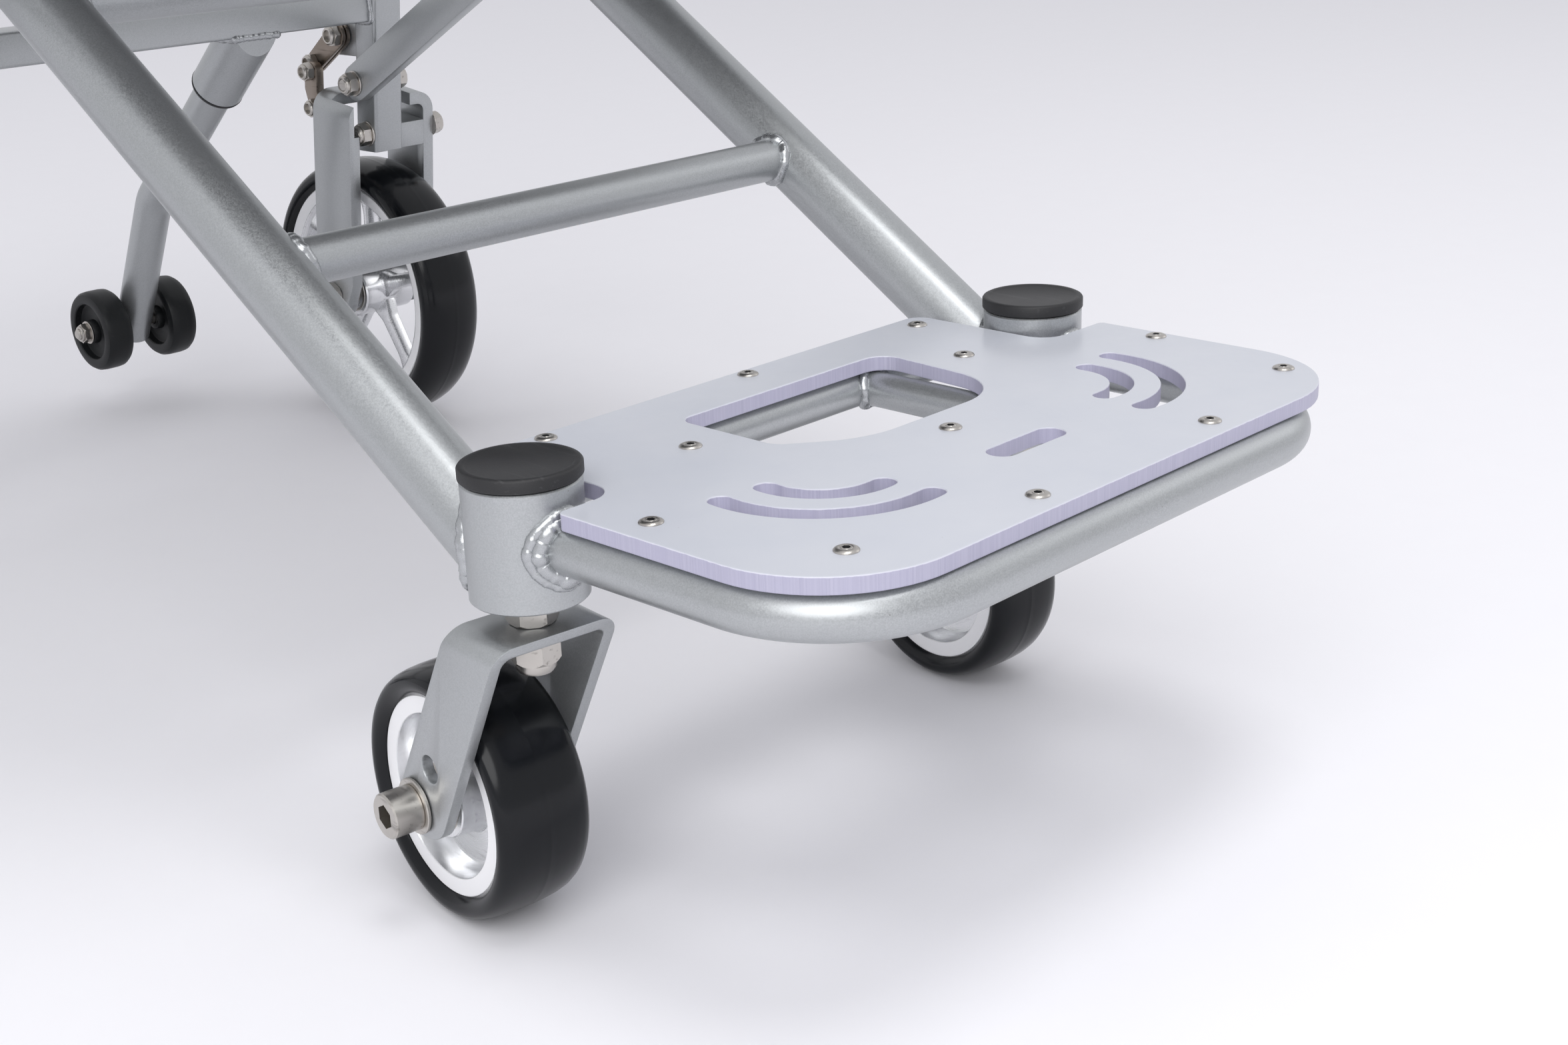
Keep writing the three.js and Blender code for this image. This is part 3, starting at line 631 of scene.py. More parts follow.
def hexNut(across, thick, collar=0.0):
    # Across-corner size; a washer face below, a domed locking collar above where asked
    part = bmesh.new()
    prismPart = bmesh.new()
    bmesh.ops.create_cone(prismPart, cap_ends=True, segments=6, radius1=across / 2, radius2=across / 2,
                          depth=thick, matrix=raised(thick / 2))
    cone = turned([(0, 0), (across * 0.445, 0), (across * 0.505, thick * 0.16),
                   (across * 0.505, thick * 0.84), (across * 0.445, thick), (0, thick)], 36)
    place(part, boolean(prismPart, cone, "INTERSECT"))
    if collar:
        place(part, turned([(across * 0.30, thick * 0.5), (across * 0.40, thick * 0.9),
                            (across * 0.39, thick + collar * 0.6), (across * 0.33, thick + collar),
                            (across * 0.27, thick + collar * 0.9), (across * 0.27, thick * 0.5)], 36))
    return part


def threadedEnd(radius, length, pitch=0.0012):
    rings = int(length / pitch)
    profile = [(0, 0)]
    for i in range(rings):
        profile += [(radius * 0.9, i * pitch), (radius, (i + 0.5) * pitch)]
    profile += [(radius * 0.85, rings * pitch), (radius * 0.7, rings * pitch + radius * 0.15),
                (0, rings * pitch + radius * 0.15)]
    return turned(profile, 24)


def socketHead(radius, length, across, depth):
    # A cap screw head: its outer end is at z = length, with a hexagonal socket
    part = bmesh.new()
    chamfer = radius * 0.07
    levels = [(radius - chamfer * 0.4, 0), (radius, chamfer * 0.4), (radius, length - chamfer),
              (radius - chamfer, length)]
    made = bmesh.ops.create_circle(part, cap_ends=False, radius=levels[0][0], segments=40)
    ring = list({e for v in made["verts"] for e in v.link_edges})
    bottom = ring
    for (r0, z0), (r1, z1) in zip(levels, levels[1:]):
        grown = bmesh.ops.extrude_edge_only(part, edges=ring)["geom"]
        ring = [g for g in grown if isinstance(g, bmesh.types.BMEdge) and g.is_boundary]
        newVerts = [g for g in grown if isinstance(g, bmesh.types.BMVert)]
        bmesh.ops.scale(part, vec=(r1 / r0, r1 / r0, 1), verts=newVerts)
        bmesh.ops.translate(part, vec=(0, 0, z1 - z0), verts=newVerts)
    bmesh.ops.holes_fill(part, edges=bottom, sides=0)
    hexagon = bmesh.ops.create_circle(part, cap_ends=False, radius=across / 2, segments=6,
                                      matrix=raised(length))
    hexEdges = list({e for v in hexagon["verts"] for e in v.link_edges})
    bmesh.ops.triangle_fill(part, use_beauty=True, use_dissolve=False, edges=ring + hexEdges,
                            normal=(0, 0, 1))
    grown = bmesh.ops.extrude_edge_only(part, edges=hexEdges)["geom"]
    bmesh.ops.translate(part, vec=(0, 0, -depth), verts=[g for g in grown
                                                         if isinstance(g, bmesh.types.BMVert)])
    bmesh.ops.holes_fill(part, edges=[g for g in grown if isinstance(g, bmesh.types.BMEdge)
                                      and g.is_boundary], sides=0)
    return part


def washer(inner, outer, thick):
    edge = thick * 0.25
    return turned([(inner, 0), (outer - edge, 0), (outer, edge), (outer, thick - edge), (outer - edge, thick),
                   (inner, thick)], 40)


# Head tubes with their caps, welded to the sloping main tubes
headTube = {"radius": 0.0215, "wall": 0.004, "chamfer": 0.0006}
capSizes = {"radius": 0.022, "neck": 0.0198, "brim": 0.0052, "lip": 0.0022, "dish": 0.0005}
mainTube = {"radius": 0.015, "slope": 0.648, "heightAtStem": 0.1472, "end": 0.538}


def mainPoint(side, along):
    return Vector((side * stem.x, stem.y + along, mainTube["heightAtStem"] + mainTube["slope"] * along))


mainAlong = (mainPoint(1, 1) - mainPoint(1, 0)).normalized()


def headAndMainTube(name, side):
    piece = bmesh.new()
    r, c = headTube["radius"], headTube["chamfer"]
    bore = r - headTube["wall"]
    place(piece, turned([(bore, headLow), (r - c, headLow), (r, headLow + c), (r, headHigh - c),
                         (r - c, headHigh), (bore, headHigh)], 72), atStem(side))
    finishPiece(f"headTube_{name}", piece, paint, [f"head_tube_{name}"])

    finishPiece(f"mainTube_{name}", [tube(mainPoint(side, 0.008), mainPoint(side, mainTube["end"]),
                                          mainTube["radius"], 64)], paint, [f"main_tube_{name}"])

    around = outsideRound(inChair(side * stem.x, 0, 0), upAxis, r)
    seam = seamAround(mainPoint(side, 0.0), mainAlong, mainTube["radius"] + 0.0004, around)
    finishPiece(f"mainTubeWeld_{name}", [beadOn(seam, mainAlong)], weld)


def stemCap(name, side):
    s = capSizes
    base = headHigh
    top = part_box(f"stem_cap_{name}")[1].z
    under = top - s["brim"]
    piece = bmesh.new()
    profile = [(0, base - 0.006), (s["neck"] - 0.004, base - 0.006), (s["neck"] - 0.004, base + 0.0002),
               (s["neck"], base + 0.0002), (s["neck"], under), (s["radius"] - 0.0006, under),
               (s["radius"], under + 0.0006), (s["radius"], top - 0.0009),
               (s["radius"] - 0.0004, top - 0.0003), (s["radius"] - 0.0010, top),
               (s["radius"] - s["lip"], top), (s["radius"] - s["lip"] - 0.0007, top - 0.0002),
               (s["radius"] - s["lip"] - 0.0012, top - s["dish"]), (0, top - s["dish"] * 0.8)]
    place(piece, turned(profile, 72), atStem(side))
    finishPiece(f"stemCap_{name}", piece, capPlastic, [f"stem_cap_{name}"])


for name, side in sides.items():
    headAndMainTube(name, side)
    stemCap(name, side)
print("head tubes and main tubes done")

# The tubes between the two main tubes, welded at both ends
crossTubeSizes = {"frontCrossTube": {"node": "front_cross_tube", "radius": 0.0095, "y": 0.144, "z": 0.2405},
                  "middleCrossTube": {"node": "middle_cross_tube", "radius": 0.011, "y": 0.292, "z": 0.333}}


def crossTube(name, node, radius, y, z):
    start, end = inChair(-stem.x, y, z), inChair(stem.x, y, z)
    finishPiece(name, [tube(start, end, radius, 56)], paint, [node])
    piece = bmesh.new()
    for side in sides.values():
        outward = Vector((side, 0, 0))
        hit = outsideRound(mainPoint(side, 0), mainAlong, mainTube["radius"])
        seam = seamAround(inChair(side * 0.1, y, z), outward, radius, lambda p, hit=hit: -hit(p), 120, 0.045)
        place(piece, beadOn(seam, outward, 0.0030))
    finishPiece(name + "Weld", piece, weld)


for name, tubeSizes in crossTubeSizes.items():
    crossTube(name, **tubeSizes)


# Footrest: a bent loop ahead of the head tubes, a tube between them and two stays
loopTube = {"radius": 0.009, "bend": 0.052, "front": -0.150, "z": 0.1654}
restTube = {"radius": 0.008, "y": 0.027, "z": 0.1664, "stayX": 0.062, "stayRadius": 0.0075}


def footrestTubes():
    s, r = loopTube, restTube
    piece = bmesh.new()
    corners = [inChair(-stem.x, -0.012, s["z"]), inChair(-stem.x, s["front"], s["z"]),
               inChair(stem.x, s["front"], s["z"]), inChair(stem.x, -0.012, s["z"])]
    place(piece, sweep(bentPath(corners, s["bend"], 24), s["radius"], upAxis, 48))
    finishPiece("footrestLoop", piece, paint, ["footrest_loop"])

    finishPiece("footrestRearTube", [tube(inChair(-0.134, r["y"], r["z"]), inChair(0.134, r["y"], r["z"]),
                                          r["radius"], 48)], paint, ["footrest_rear_tube"])
    for name, side in sides.items():
        finishPiece(f"footrestStay_{name}", [tube(inChair(side * r["stayX"], r["y"], r["z"]),
                                                  inChair(side * r["stayX"], s["front"], r["z"]),
                                                  r["stayRadius"], 40)], paint, [f"footrest_stay_{name}"])

        piece = bmesh.new()
        headSpace = outsideRound(inChair(side * stem.x, 0, 0), upAxis, headTube["radius"])
        ahead = Vector((0, -1, 0))
        for grow, width in ((0.0008, 0.0040), (0.0040, 0.0024)):
            seam = seamAround(inChair(side * stem.x, 0, s["z"]), ahead, s["radius"] + grow, headSpace)
            place(piece, beadOn(seam, ahead, width))
        crossSpace = outsideRound(inChair(0, r["y"], r["z"]), xAxis, r["radius"])
        seam = seamAround(inChair(side * r["stayX"], r["y"], r["z"]), ahead, r["stayRadius"], crossSpace, 100)
        place(piece, beadOn(seam, ahead, 0.0025))
        outward = Vector((side, 0, 0))
        hit = outsideRound(inChair(side * stem.x, 0, 0), upAxis, headTube["radius"] + 0.006)
        seam = seamAround(inChair(side * 0.09, r["y"], r["z"]), outward, r["radius"], lambda p: -hit(p),
                          100, 0.05)
        place(piece, beadOn(seam, outward, 0.0026))
        finishPiece(f"footrestWeld_{name}", piece, weld)


footrestTubes()

# Footplate: outlines are (x, y, corner radius), y from the caster stems; its front sits 5 mm off centre
footplate = {"thick": 0.0063, "edge": 0.0004,
             "outline": [(-0.124, 0.048, 0.008), (-0.124, -0.025, 0.0115), (-0.152, -0.025, 0.003),
                         (-0.152, -0.153, 0.050), (0.162, -0.153, 0.050), (0.162, -0.025, 0.003),
                         (0.124, -0.025, 0.0115), (0.124, 0.048, 0.008)],
             "hole": [(-0.053, 0.019, 0.007), (0.066, 0.019, 0.010), (0.060, -0.054, 0.031),
                      (-0.027, -0.054, 0.045), (-0.053, -0.032, 0.010)],
             "drain": [(-0.015, -0.097, 0.0059), (0.025, -0.097, 0.0059), (0.025, -0.109, 0.0059),
                       (-0.015, -0.109, 0.0059)],
             "arcs": {"middle": 0.005, "x": 0.069, "y": -0.066, "radii": (0.0255, 0.0455), "width": 0.0095,
                      "from": 0.96, "to": 1.54}}
plateScrews = [(-0.0995, 0.0419), (0.0087, 0.0417), (0.1108, 0.0367), (0.0839, -0.0111),
               (0.0016, -0.0705), (-0.0734, -0.0089), (-0.1389, -0.0575), (-0.1186, -0.1257),
               (-0.0397, -0.1415), (0.0655, -0.1419), (0.1432, -0.1268), (0.1553, -0.0584)]


def arcPoints(x, y, radius, start, end, steps):
    return [(x + radius * cos(start + (end - start) * i / steps),
             y + radius * sin(start + (end - start) * i / steps)) for i in range(steps + 1)]


def arcSlot(side, radius):
    a = footplate["arcs"]
    start, end, half = a["from"] * pi, a["to"] * pi, a["width"] / 2
    points = arcPoints(0, 0, radius + half, start, end, 28)
    points += arcPoints(radius * cos(end), radius * sin(end), half, end, end + pi, 10)[1:-1]
    points += arcPoints(0, 0, radius - half, end, start, 28)
    points += arcPoints(radius * cos(start), radius * sin(start), half, start - pi, start, 10)[1:-1]
    return [(a["middle"] + side * (a["x"] - x), y + a["y"]) for x, y in points]


def makeFootplate():
    s = footplate
    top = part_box("footplate")[1].z
    holes = [rounded(s["hole"], 12), rounded(s["drain"])]
    holes += [arcSlot(side, radius) for side in sides.values() for radius in s["arcs"]["radii"]]
    body = prism(rounded(s["outline"], 16), s["thick"], holes)
    rims = [e for e in body.edges if e.is_manifold and e.calc_face_angle(0) > 1.2 and
            abs(e.verts[0].co.z - e.verts[1].co.z) < 1e-6]
    bmesh.ops.bevel(body, geom=rims, offset=s["edge"], affect="EDGES", segments=2, profile=0.5, material=-1)
    for face in body.faces:
        face.material_index = 0 if abs(face.normal.z) > 0.9 else 1
    finishPiece("footplate", [(body, Matrix.Translation((0, stem.y, top - s["thick"])))],
                [film, plateSawnEdge(top)], ["footplate"], smooth=20)

    piece = bmesh.new()
    for i, (x, y) in enumerate(plateScrews):
        head = bmesh.new()
        place(head, socketHead(0.0021, 0.0010, 0.0031, 0.0009), raised(0.0002))
        # Faces inside the hex socket take the dark cap plastic: painted shade in the socket recess
        for face in head.faces:
            face.material_index = int(face.calc_center_median().xy.length < 0.0015)
        place(head, turned([(0.0020, -0.001), (0.0043, -0.001), (0.0044, 0.0003), (0.0041, 0.0007),
                            (0.0033, 0.0011), (0.0024, 0.0012), (0.0020, 0.0010)], 32))
        place(piece, head, Matrix.Translation((x, stem.y + y, top)) @ Matrix.Rotation(i * 0.7, 4, "Z"))
    finishPiece("footplateScrews", piece, [nickel, capPlastic])


makeFootplate()
print("footrest done")

# Casters: a bent flat-bar fork, stem nuts, a cap screw for an axle, tyre, rim and bearings
casterFork = {"half": 0.0265, "bar": 0.005, "top": 0.1333, "low": 0.020, "corner": 0.009, "front": -0.017,
              "rear": 0.0155, "chin": (-0.019, -0.0034), "eye": 0.0125, "axleHole": 0.0063,
              "spareHole": 0.0055, "spareBack": 0.0121, "spareUp": 0.0192, "edge": 0.0006}
casterAxleBolt = {"radius": 0.006, "head": 0.009, "headLong": 0.012, "socket": 0.0100, "depth": 0.0075,
                  "washer": 0.0112, "washerThick": 0.0017, "nut": 0.0219, "nutThick": 0.010}
stemNuts = {"upper": 0.0190, "upperThick": 0.0077, "lower": 0.0190, "lowerThick": 0.0095, "collar": 0.0040,
            "shank": 0.005}
casterTyre = {"side": [(0.0404, 0.0168), (0.0412, 0.0178), (0.0432, 0.0192), (0.0452, 0.0198),
                       (0.0470, 0.0194), (0.0484, 0.0180), (0.0495, 0.0155), (0.0502, 0.0120),
                       (0.0506, 0.0075), (0.05075, 0.0030), (0.05075, 0.0007), (0.0508, 0.0003)]}
casterRim = {"side": [(0.0138, 0.0170), (0.0160, 0.0170), (0.0165, 0.0165), (0.0170, 0.0075),
                      (0.0182, 0.0054), (0.0200, 0.0050), (0.0295, 0.0050), (0.0310, 0.0058),
                      (0.0318, 0.0080), (0.0328, 0.0158), (0.0333, 0.0164), (0.0399, 0.0164),
                      (0.0404, 0.0159)], "white": 0.0331}


def mirroredProfile(side):
    # side runs from the bore or bed outwards on the +X half; the other half mirrors it
    return [(r, -x) for r, x in side] + [(r, x) for r, x in reversed(side)]


def flatFork(s, holes, notchTools=()):
    # The front view extruded through the fork's depth, trimmed to its side view, then drilled
    half, bar = s["half"], s["bar"]
    inner = s["corner"] - bar
    front = rounded([(-half, s["low"], 0), (-half, s["top"], s["corner"]), (half, s["top"], s["corner"]),
                     (half, s["low"], 0), (half - bar, s["low"], 0), (half - bar, s["top"] - bar, inner),
                     (bar - half, s["top"] - bar, inner), (bar - half, s["low"], 0)], 10)
    long = 0.14
    blank = prism(front, long)
    blank.transform(Matrix.Translation((0, long / 2, 0)) @ facingY)
    trim = prism(s["outline"], half * 2 + 0.01)
    trim.transform(Matrix.Translation((-half - 0.005, 0, 0)) @ acrossX)
    fork = boolean(blank, trim, "INTERSECT")
    for tool in notchTools:
        fork = boolean(fork, tool)
    for y, z, radius, start in holes:
        drill = turned([(0, start), (radius, start), (radius, 0.06), (0, 0.06)], 36)
        drill.transform(Matrix.Translation((0, y, z)) @ acrossX)
        fork = boolean(fork, drill)
    return soften(fork, s["edge"])


def capScrewAcross(s, halfSpan, side):
    # Head outside, nut inside; side turns it round
    piece = bmesh.new()
    turn = Matrix() if side > 0 else Matrix.Rotation(pi, 4, "Z")
    face = halfSpan + runGap
    base = turn @ acrossX
    place(piece, turned([(0, -face - 0.013), (s["radius"] - 0.0008, -face - 0.013),
                         (s["radius"], -face - 0.012), (s["radius"], face + 0.002), (0, face + 0.002)],
                        32), base)
    place(piece, washer(s["radius"], s["washer"], s["washerThick"]), base @ raised(face))
    place(piece, socketHead(s["head"], s["headLong"], s["socket"], s["depth"]),
          base @ raised(face + s["washerThick"]))
    place(piece, hexNut(s["nut"], s["nutThick"] - 0.003, collar=0.003),
          base @ raised(-face) @ turnOver)
    return piece


def bearingFaces(bore, outer, face, matrix):
    # Outer race, recessed shield, inner race, on both sides
    part = bmesh.new()
    rise = (outer - bore) / 5
    half = [(bore, face + 0.0004), (bore + rise * 1.2, face + 0.0004), (bore + rise * 1.4, face - 0.0006),
            (outer - rise * 1.4, face - 0.0006), (outer - rise * 1.2, face), (outer, face)]
    body = turned(mirroredProfile(half), 48)
    place(part, body, matrix)
    return part


def makeCaster(name, side):
    axle = casterAxle[name]
    heading = -atan((axle.x - side * stem.x) / (axle.y - stem.y))
    trail = (Vector((axle.x, axle.y)) - inChair(side * stem.x, 0, 0).xy).length
    swivel = atStem(side) @ Matrix.Rotation(heading, 4, "Z")
    wheel = swivel @ Matrix.Translation((0, trail, axle.z))
    s = casterFork
    chin = Vector((trail + s["chin"][0], axle.z + s["chin"][1]))
    low = Vector((trail, axle.z - s["eye"]))
    bend = Vector((trail - 0.0145, low.y))
    curve = [tuple(chin.lerp(bend, k / 8).lerp(bend.lerp(low, k / 8), k / 8)) for k in range(8)]
    eye = arcPoints(trail, axle.z, s["eye"], -pi / 2, pi / 6, 16)
    outline = [(s["front"], s["top"] + 0.001), *curve, *eye, (s["rear"], s["top"] + 0.001)]
    fork = flatFork({**s, "outline": outline},
                    [(trail, axle.z, s["axleHole"], -0.06),
                     (trail - s["spareBack"], axle.z + s["spareUp"], s["spareHole"], -0.06)])
    finishPiece(f"casterFork_{name}", [(fork, swivel)], paint, [f"caster_fork_{name}"],
                body=f"caster_{name}")

    n = stemNuts
    piece = bmesh.new()
    under = s["top"] - s["bar"]
    place(piece, hexNut(n["upper"], n["upperThick"]), swivel @ raised(s["top"] + runGap))
    place(piece, hexNut(n["lower"], n["lowerThick"], collar=n["collar"]),
          swivel @ raised(under - runGap) @ turnOver @ Matrix.Rotation(0.3, 4, "Z"))
    place(piece, turned([(0, under - 0.013), (n["shank"] - 0.0006, under - 0.013),
                         (n["shank"], under - 0.0123), (n["shank"], headLow + 0.02), (0, headLow + 0.02)],
                        32), swivel)
    place(piece, washer(n["shank"], 0.0128, 0.0012), swivel @ raised(headLow - 0.0008))
    finishPiece(f"casterStem_{name}", piece, nickel, [f"caster_stem_bolt_{name}"], body=f"caster_{name}")

    finishPiece(f"casterAxle_{name}", [(capScrewAcross(casterAxleBolt, s["half"], side), wheel)], nickel,
                [f"caster_axle_bolt_{name}"], body=f"caster_{name}")

    rides = f"caster_wheel_{name}"
    finishPiece(f"casterTyre_{name}", [(turned(mirroredProfile(casterTyre["side"]), 112),
                                        wheel @ acrossX)], tyreRubber, [f"caster_tyre_{name}"],
                body=rides)
    piece = bmesh.new()
    place(piece, turned(mirroredProfile(casterRim["side"]), 96), wheel @ acrossX)
    alloy = turnedAlloy(f"casterAlloy_{name}", wheel.translation, heading, casterRim["white"])
    finishPiece(f"casterRim_{name}", piece, alloy, [f"caster_rim_{name}"], body=rides)
    piece = bearingFaces(0.0064, 0.0136, 0.0166, wheel @ acrossX)
    finishPiece(f"casterBearing_{name}", piece, nickel, [f"caster_bearing_{name}"], body=rides)
    race = [(0.0054, headLow + 0.001), (0.0130, headLow + 0.001), (0.0134, headLow + 0.0014),
            (0.0134, headLow + 0.009), (0.0130, headLow + 0.0095), (0.0054, headLow + 0.0095)]
    finishPiece(f"stemBearing_{name}", [(turned(race, 48), swivel)], nickel, [f"stem_bearing_{name}"])


for name, side in sides.items():
    makeCaster(name, side)
print("casters done")

# Rear forks, in the hinge's own frame: Y runs back and Z up the leaning post
leanAngle = atan(postLean)
rearFork = {"half": 0.034, "bar": 0.008, "top": 0.024, "corner": 0.013, "deep": 0.020, "eye": 0.015,
            "edge": 0.0008, "postOffset": -0.005, "postClear": 0.013}
rearAxleBolt = {"radius": 0.006, "head": 0.009, "headLong": 0.008, "socket": 0.0112, "depth": 0.005,
                "washer": 0.0112, "washerThick": 0.0015, "nut": 0.0190, "nutThick": 0.010}
rearTyre = {"side": [(0.0744, 0.0190), (0.0760, 0.0206), (0.0785, 0.0217), (0.0810, 0.0220),
                     (0.0833, 0.0212), (0.0852, 0.0192), (0.0868, 0.0160), (0.0880, 0.0118),
                     (0.0887, 0.0070), (0.08895, 0.0028), (0.08895, 0.0007), (0.0890, 0.0003)]}
rearRim = {"side": [(0.0640, 0.0150), (0.0652, 0.0168), (0.0668, 0.0176), (0.0738, 0.0190), (0.0744, 0.0184)],
           "well": [(0.0640, 0.0150), (0.0655, 0.0080), (0.0662, 0.0)],
           "hub": [(0.0064, 0.0200), (0.0160, 0.0200), (0.0170, 0.0190), (0.0170, 0.0080), (0.0162, 0.0060)],
           "spokes": 5, "spokeWide": 0.011, "spokeDeep": 0.009}


def blockBetween(low, high, edge=0.0008):
    part = bmesh.new()
    size = [b - a for a, b in zip(low, high)]
    bmesh.ops.create_cube(part, size=1, matrix=Matrix.Translation([(a + b) / 2 for a, b in zip(low, high)])
                          @ Matrix.Diagonal((*size, 1)))
    return soften(part, edge) if edge else part


def makeRearWheel(name, side):
    s = rearFork
    centre = Vector((rearAxle.x, hinge.y, hinge.z))
    lean = Matrix.Translation(centre) @ Matrix.Rotation(leanAngle, 4, "X")
    local = lean.inverted() @ rearAxle
    back, axleZ = local.y, local.z
    eye = arcPoints(back, axleZ, s["eye"], pi, pi * 2, 20)
    outline = [(back - s["deep"], 0.04), (back - s["deep"], axleZ + 0.012), *eye,
               (back + s["deep"], axleZ + 0.012), (back + s["deep"], 0.04)]
    left = s["postOffset"] - s["postClear"]
    right = s["postOffset"] + s["postClear"]
    notch = blockBetween((left - 0.012, -0.06, 0), (right + 0.007, back + 0.004, 0.04), 0)
    fork = flatFork({**s, "low": axleZ - 0.02, "outline": outline},
                    [(0, 0, 0.0043, 0), (back, axleZ, 0.0063, -0.06)], [notch])
    finishPiece(f"rearFork_{name}", [(fork, lean),
                                     (blockBetween((right - 0.0013, back - s["deep"], -0.012),
                                                   (s["half"] - s["bar"] + 0.001, back + 0.008, 0.005)),
                                      lean)], paint, [f"rear_fork_{name}"], body=f"rear_fork_{name}",
                mirrored=side < 0)

    piece = bmesh.new()
    plateX = -s["half"] + 0.006
    knee = (back + s["deep"] + 0.012, 0.033)
    shape = rounded([(back + s["deep"] - 0.002, 0.004, 0.001), (back + s["deep"] + 0.012, 0.004, 0.003),
                     (knee[0] + 0.0068, 0.020, 0.004), (knee[0] + 0.0068, knee[1] + 0.006, 0.006),
                     (knee[0] - 0.0068, knee[1] + 0.006, 0.006), (knee[0] - 0.0068, 0.020, 0.003),
                     (back + s["deep"] - 0.002, 0.014, 0.002)])
    place(piece, soften(prism(shape, 0.006), 0.0005),
          lean @ Matrix.Translation((plateX + 0.001, 0, 0)) @ acrossX)
    finishPiece(f"catchArm_{name}", piece, brownSteel, body=f"rear_fork_{name}", mirrored=side < 0)
    piece = bmesh.new()
    for y, z in ((knee[0], knee[1]), (back + s["deep"] + 0.006, 0.010)):
        place(piece, hexNut(0.0125, 0.005, collar=0.002),
              lean @ Matrix.Translation((plateX - 0.0062, y, z)) @ acrossX @ turnOver @ raised(-0.007))
    finishPiece(f"catchArmNuts_{name}", piece, nickel, body=f"rear_fork_{name}", mirrored=side < 0)

    wheel = Matrix.Translation((side * rearAxle.x, rearAxle.y, rearAxle.z))
    finishPiece(f"rearAxle_{name}", [(capScrewAcross(rearAxleBolt, s["half"], side), wheel)], nickel,
                [f"rear_axle_bolt_{name}"], body=f"rear_fork_{name}")

    rides = f"rear_wheel_{name}"
    finishPiece(f"rearTyre_{name}", [(turned(mirroredProfile(rearTyre["side"]), 144), wheel @ acrossX)],
                tyreRubber, [f"rear_tyre_{name}"], body=rides)
    r = rearRim
    piece = bmesh.new()
    hoop = mirroredProfile(r["side"]) + [(radius, x) for radius, x in r["well"][1:]] + [
        (radius, -x) for radius, x in reversed(r["well"][1:-1])]
    place(piece, turned(hoop, 120), wheel @ acrossX)
    place(piece, turned(mirroredProfile(r["hub"]), 64), wheel @ acrossX)
    wide, deep = r["spokeWide"] / 2, r["spokeDeep"]
    spoke = rounded([(0.013, -wide * 1.7, 0), (0.024, -wide * 0.9, 0.01), (0.052, -wide * 0.8, 0.02),
                     (0.0655, -wide * 1.6, 0), (0.0655, wide * 1.6, 0), (0.052, wide * 0.8, 0.02),
                     (0.024, wide * 0.9, 0.01), (0.013, wide * 1.7, 0)], 5)
    for i in range(r["spokes"]):
        bar = soften(prism(spoke, deep), 0.0016)
        place(piece, bar, wheel @ Matrix.Rotation(2 * pi * (i + 0.3) / r["spokes"], 4, "X") @ acrossX
              @ raised(-deep / 2))
    alloy = turnedAlloy(f"rearAlloy_{name}", wheel.translation, 0, 0.0668)
    finishPiece(f"rearRim_{name}", piece, alloy, [f"rear_rim_{name}"], body=rides)
    piece = bearingFaces(0.0064, 0.0136, 0.0204, wheel @ acrossX)
    finishPiece(f"rearBearing_{name}", piece, nickel, body=rides)


for name, side in sides.items():
    makeRearWheel(name, side)
print("rear wheels done")

# Side frames: leaning square posts that run up into the round canes, rail, struts, uprights
postSizes = {"wide": 0.022, "corner": 0.0025, "bottom": 0.187, "top": 0.530, "bolt": 0.004}
caneSizes = {"radius": 0.011, "bend": 0.045, "grip": 0.0142, "top": 0.915}
strutSizes = {"thick": 0.008, "half": 0.0118, "slope": 0.543, "lowZ": 0.233, "bolt": 0.015}
railCorner = 0.002


def postY(z):
    return stem.y + postFoot["y"] - postLean * (z - postFoot["z"])


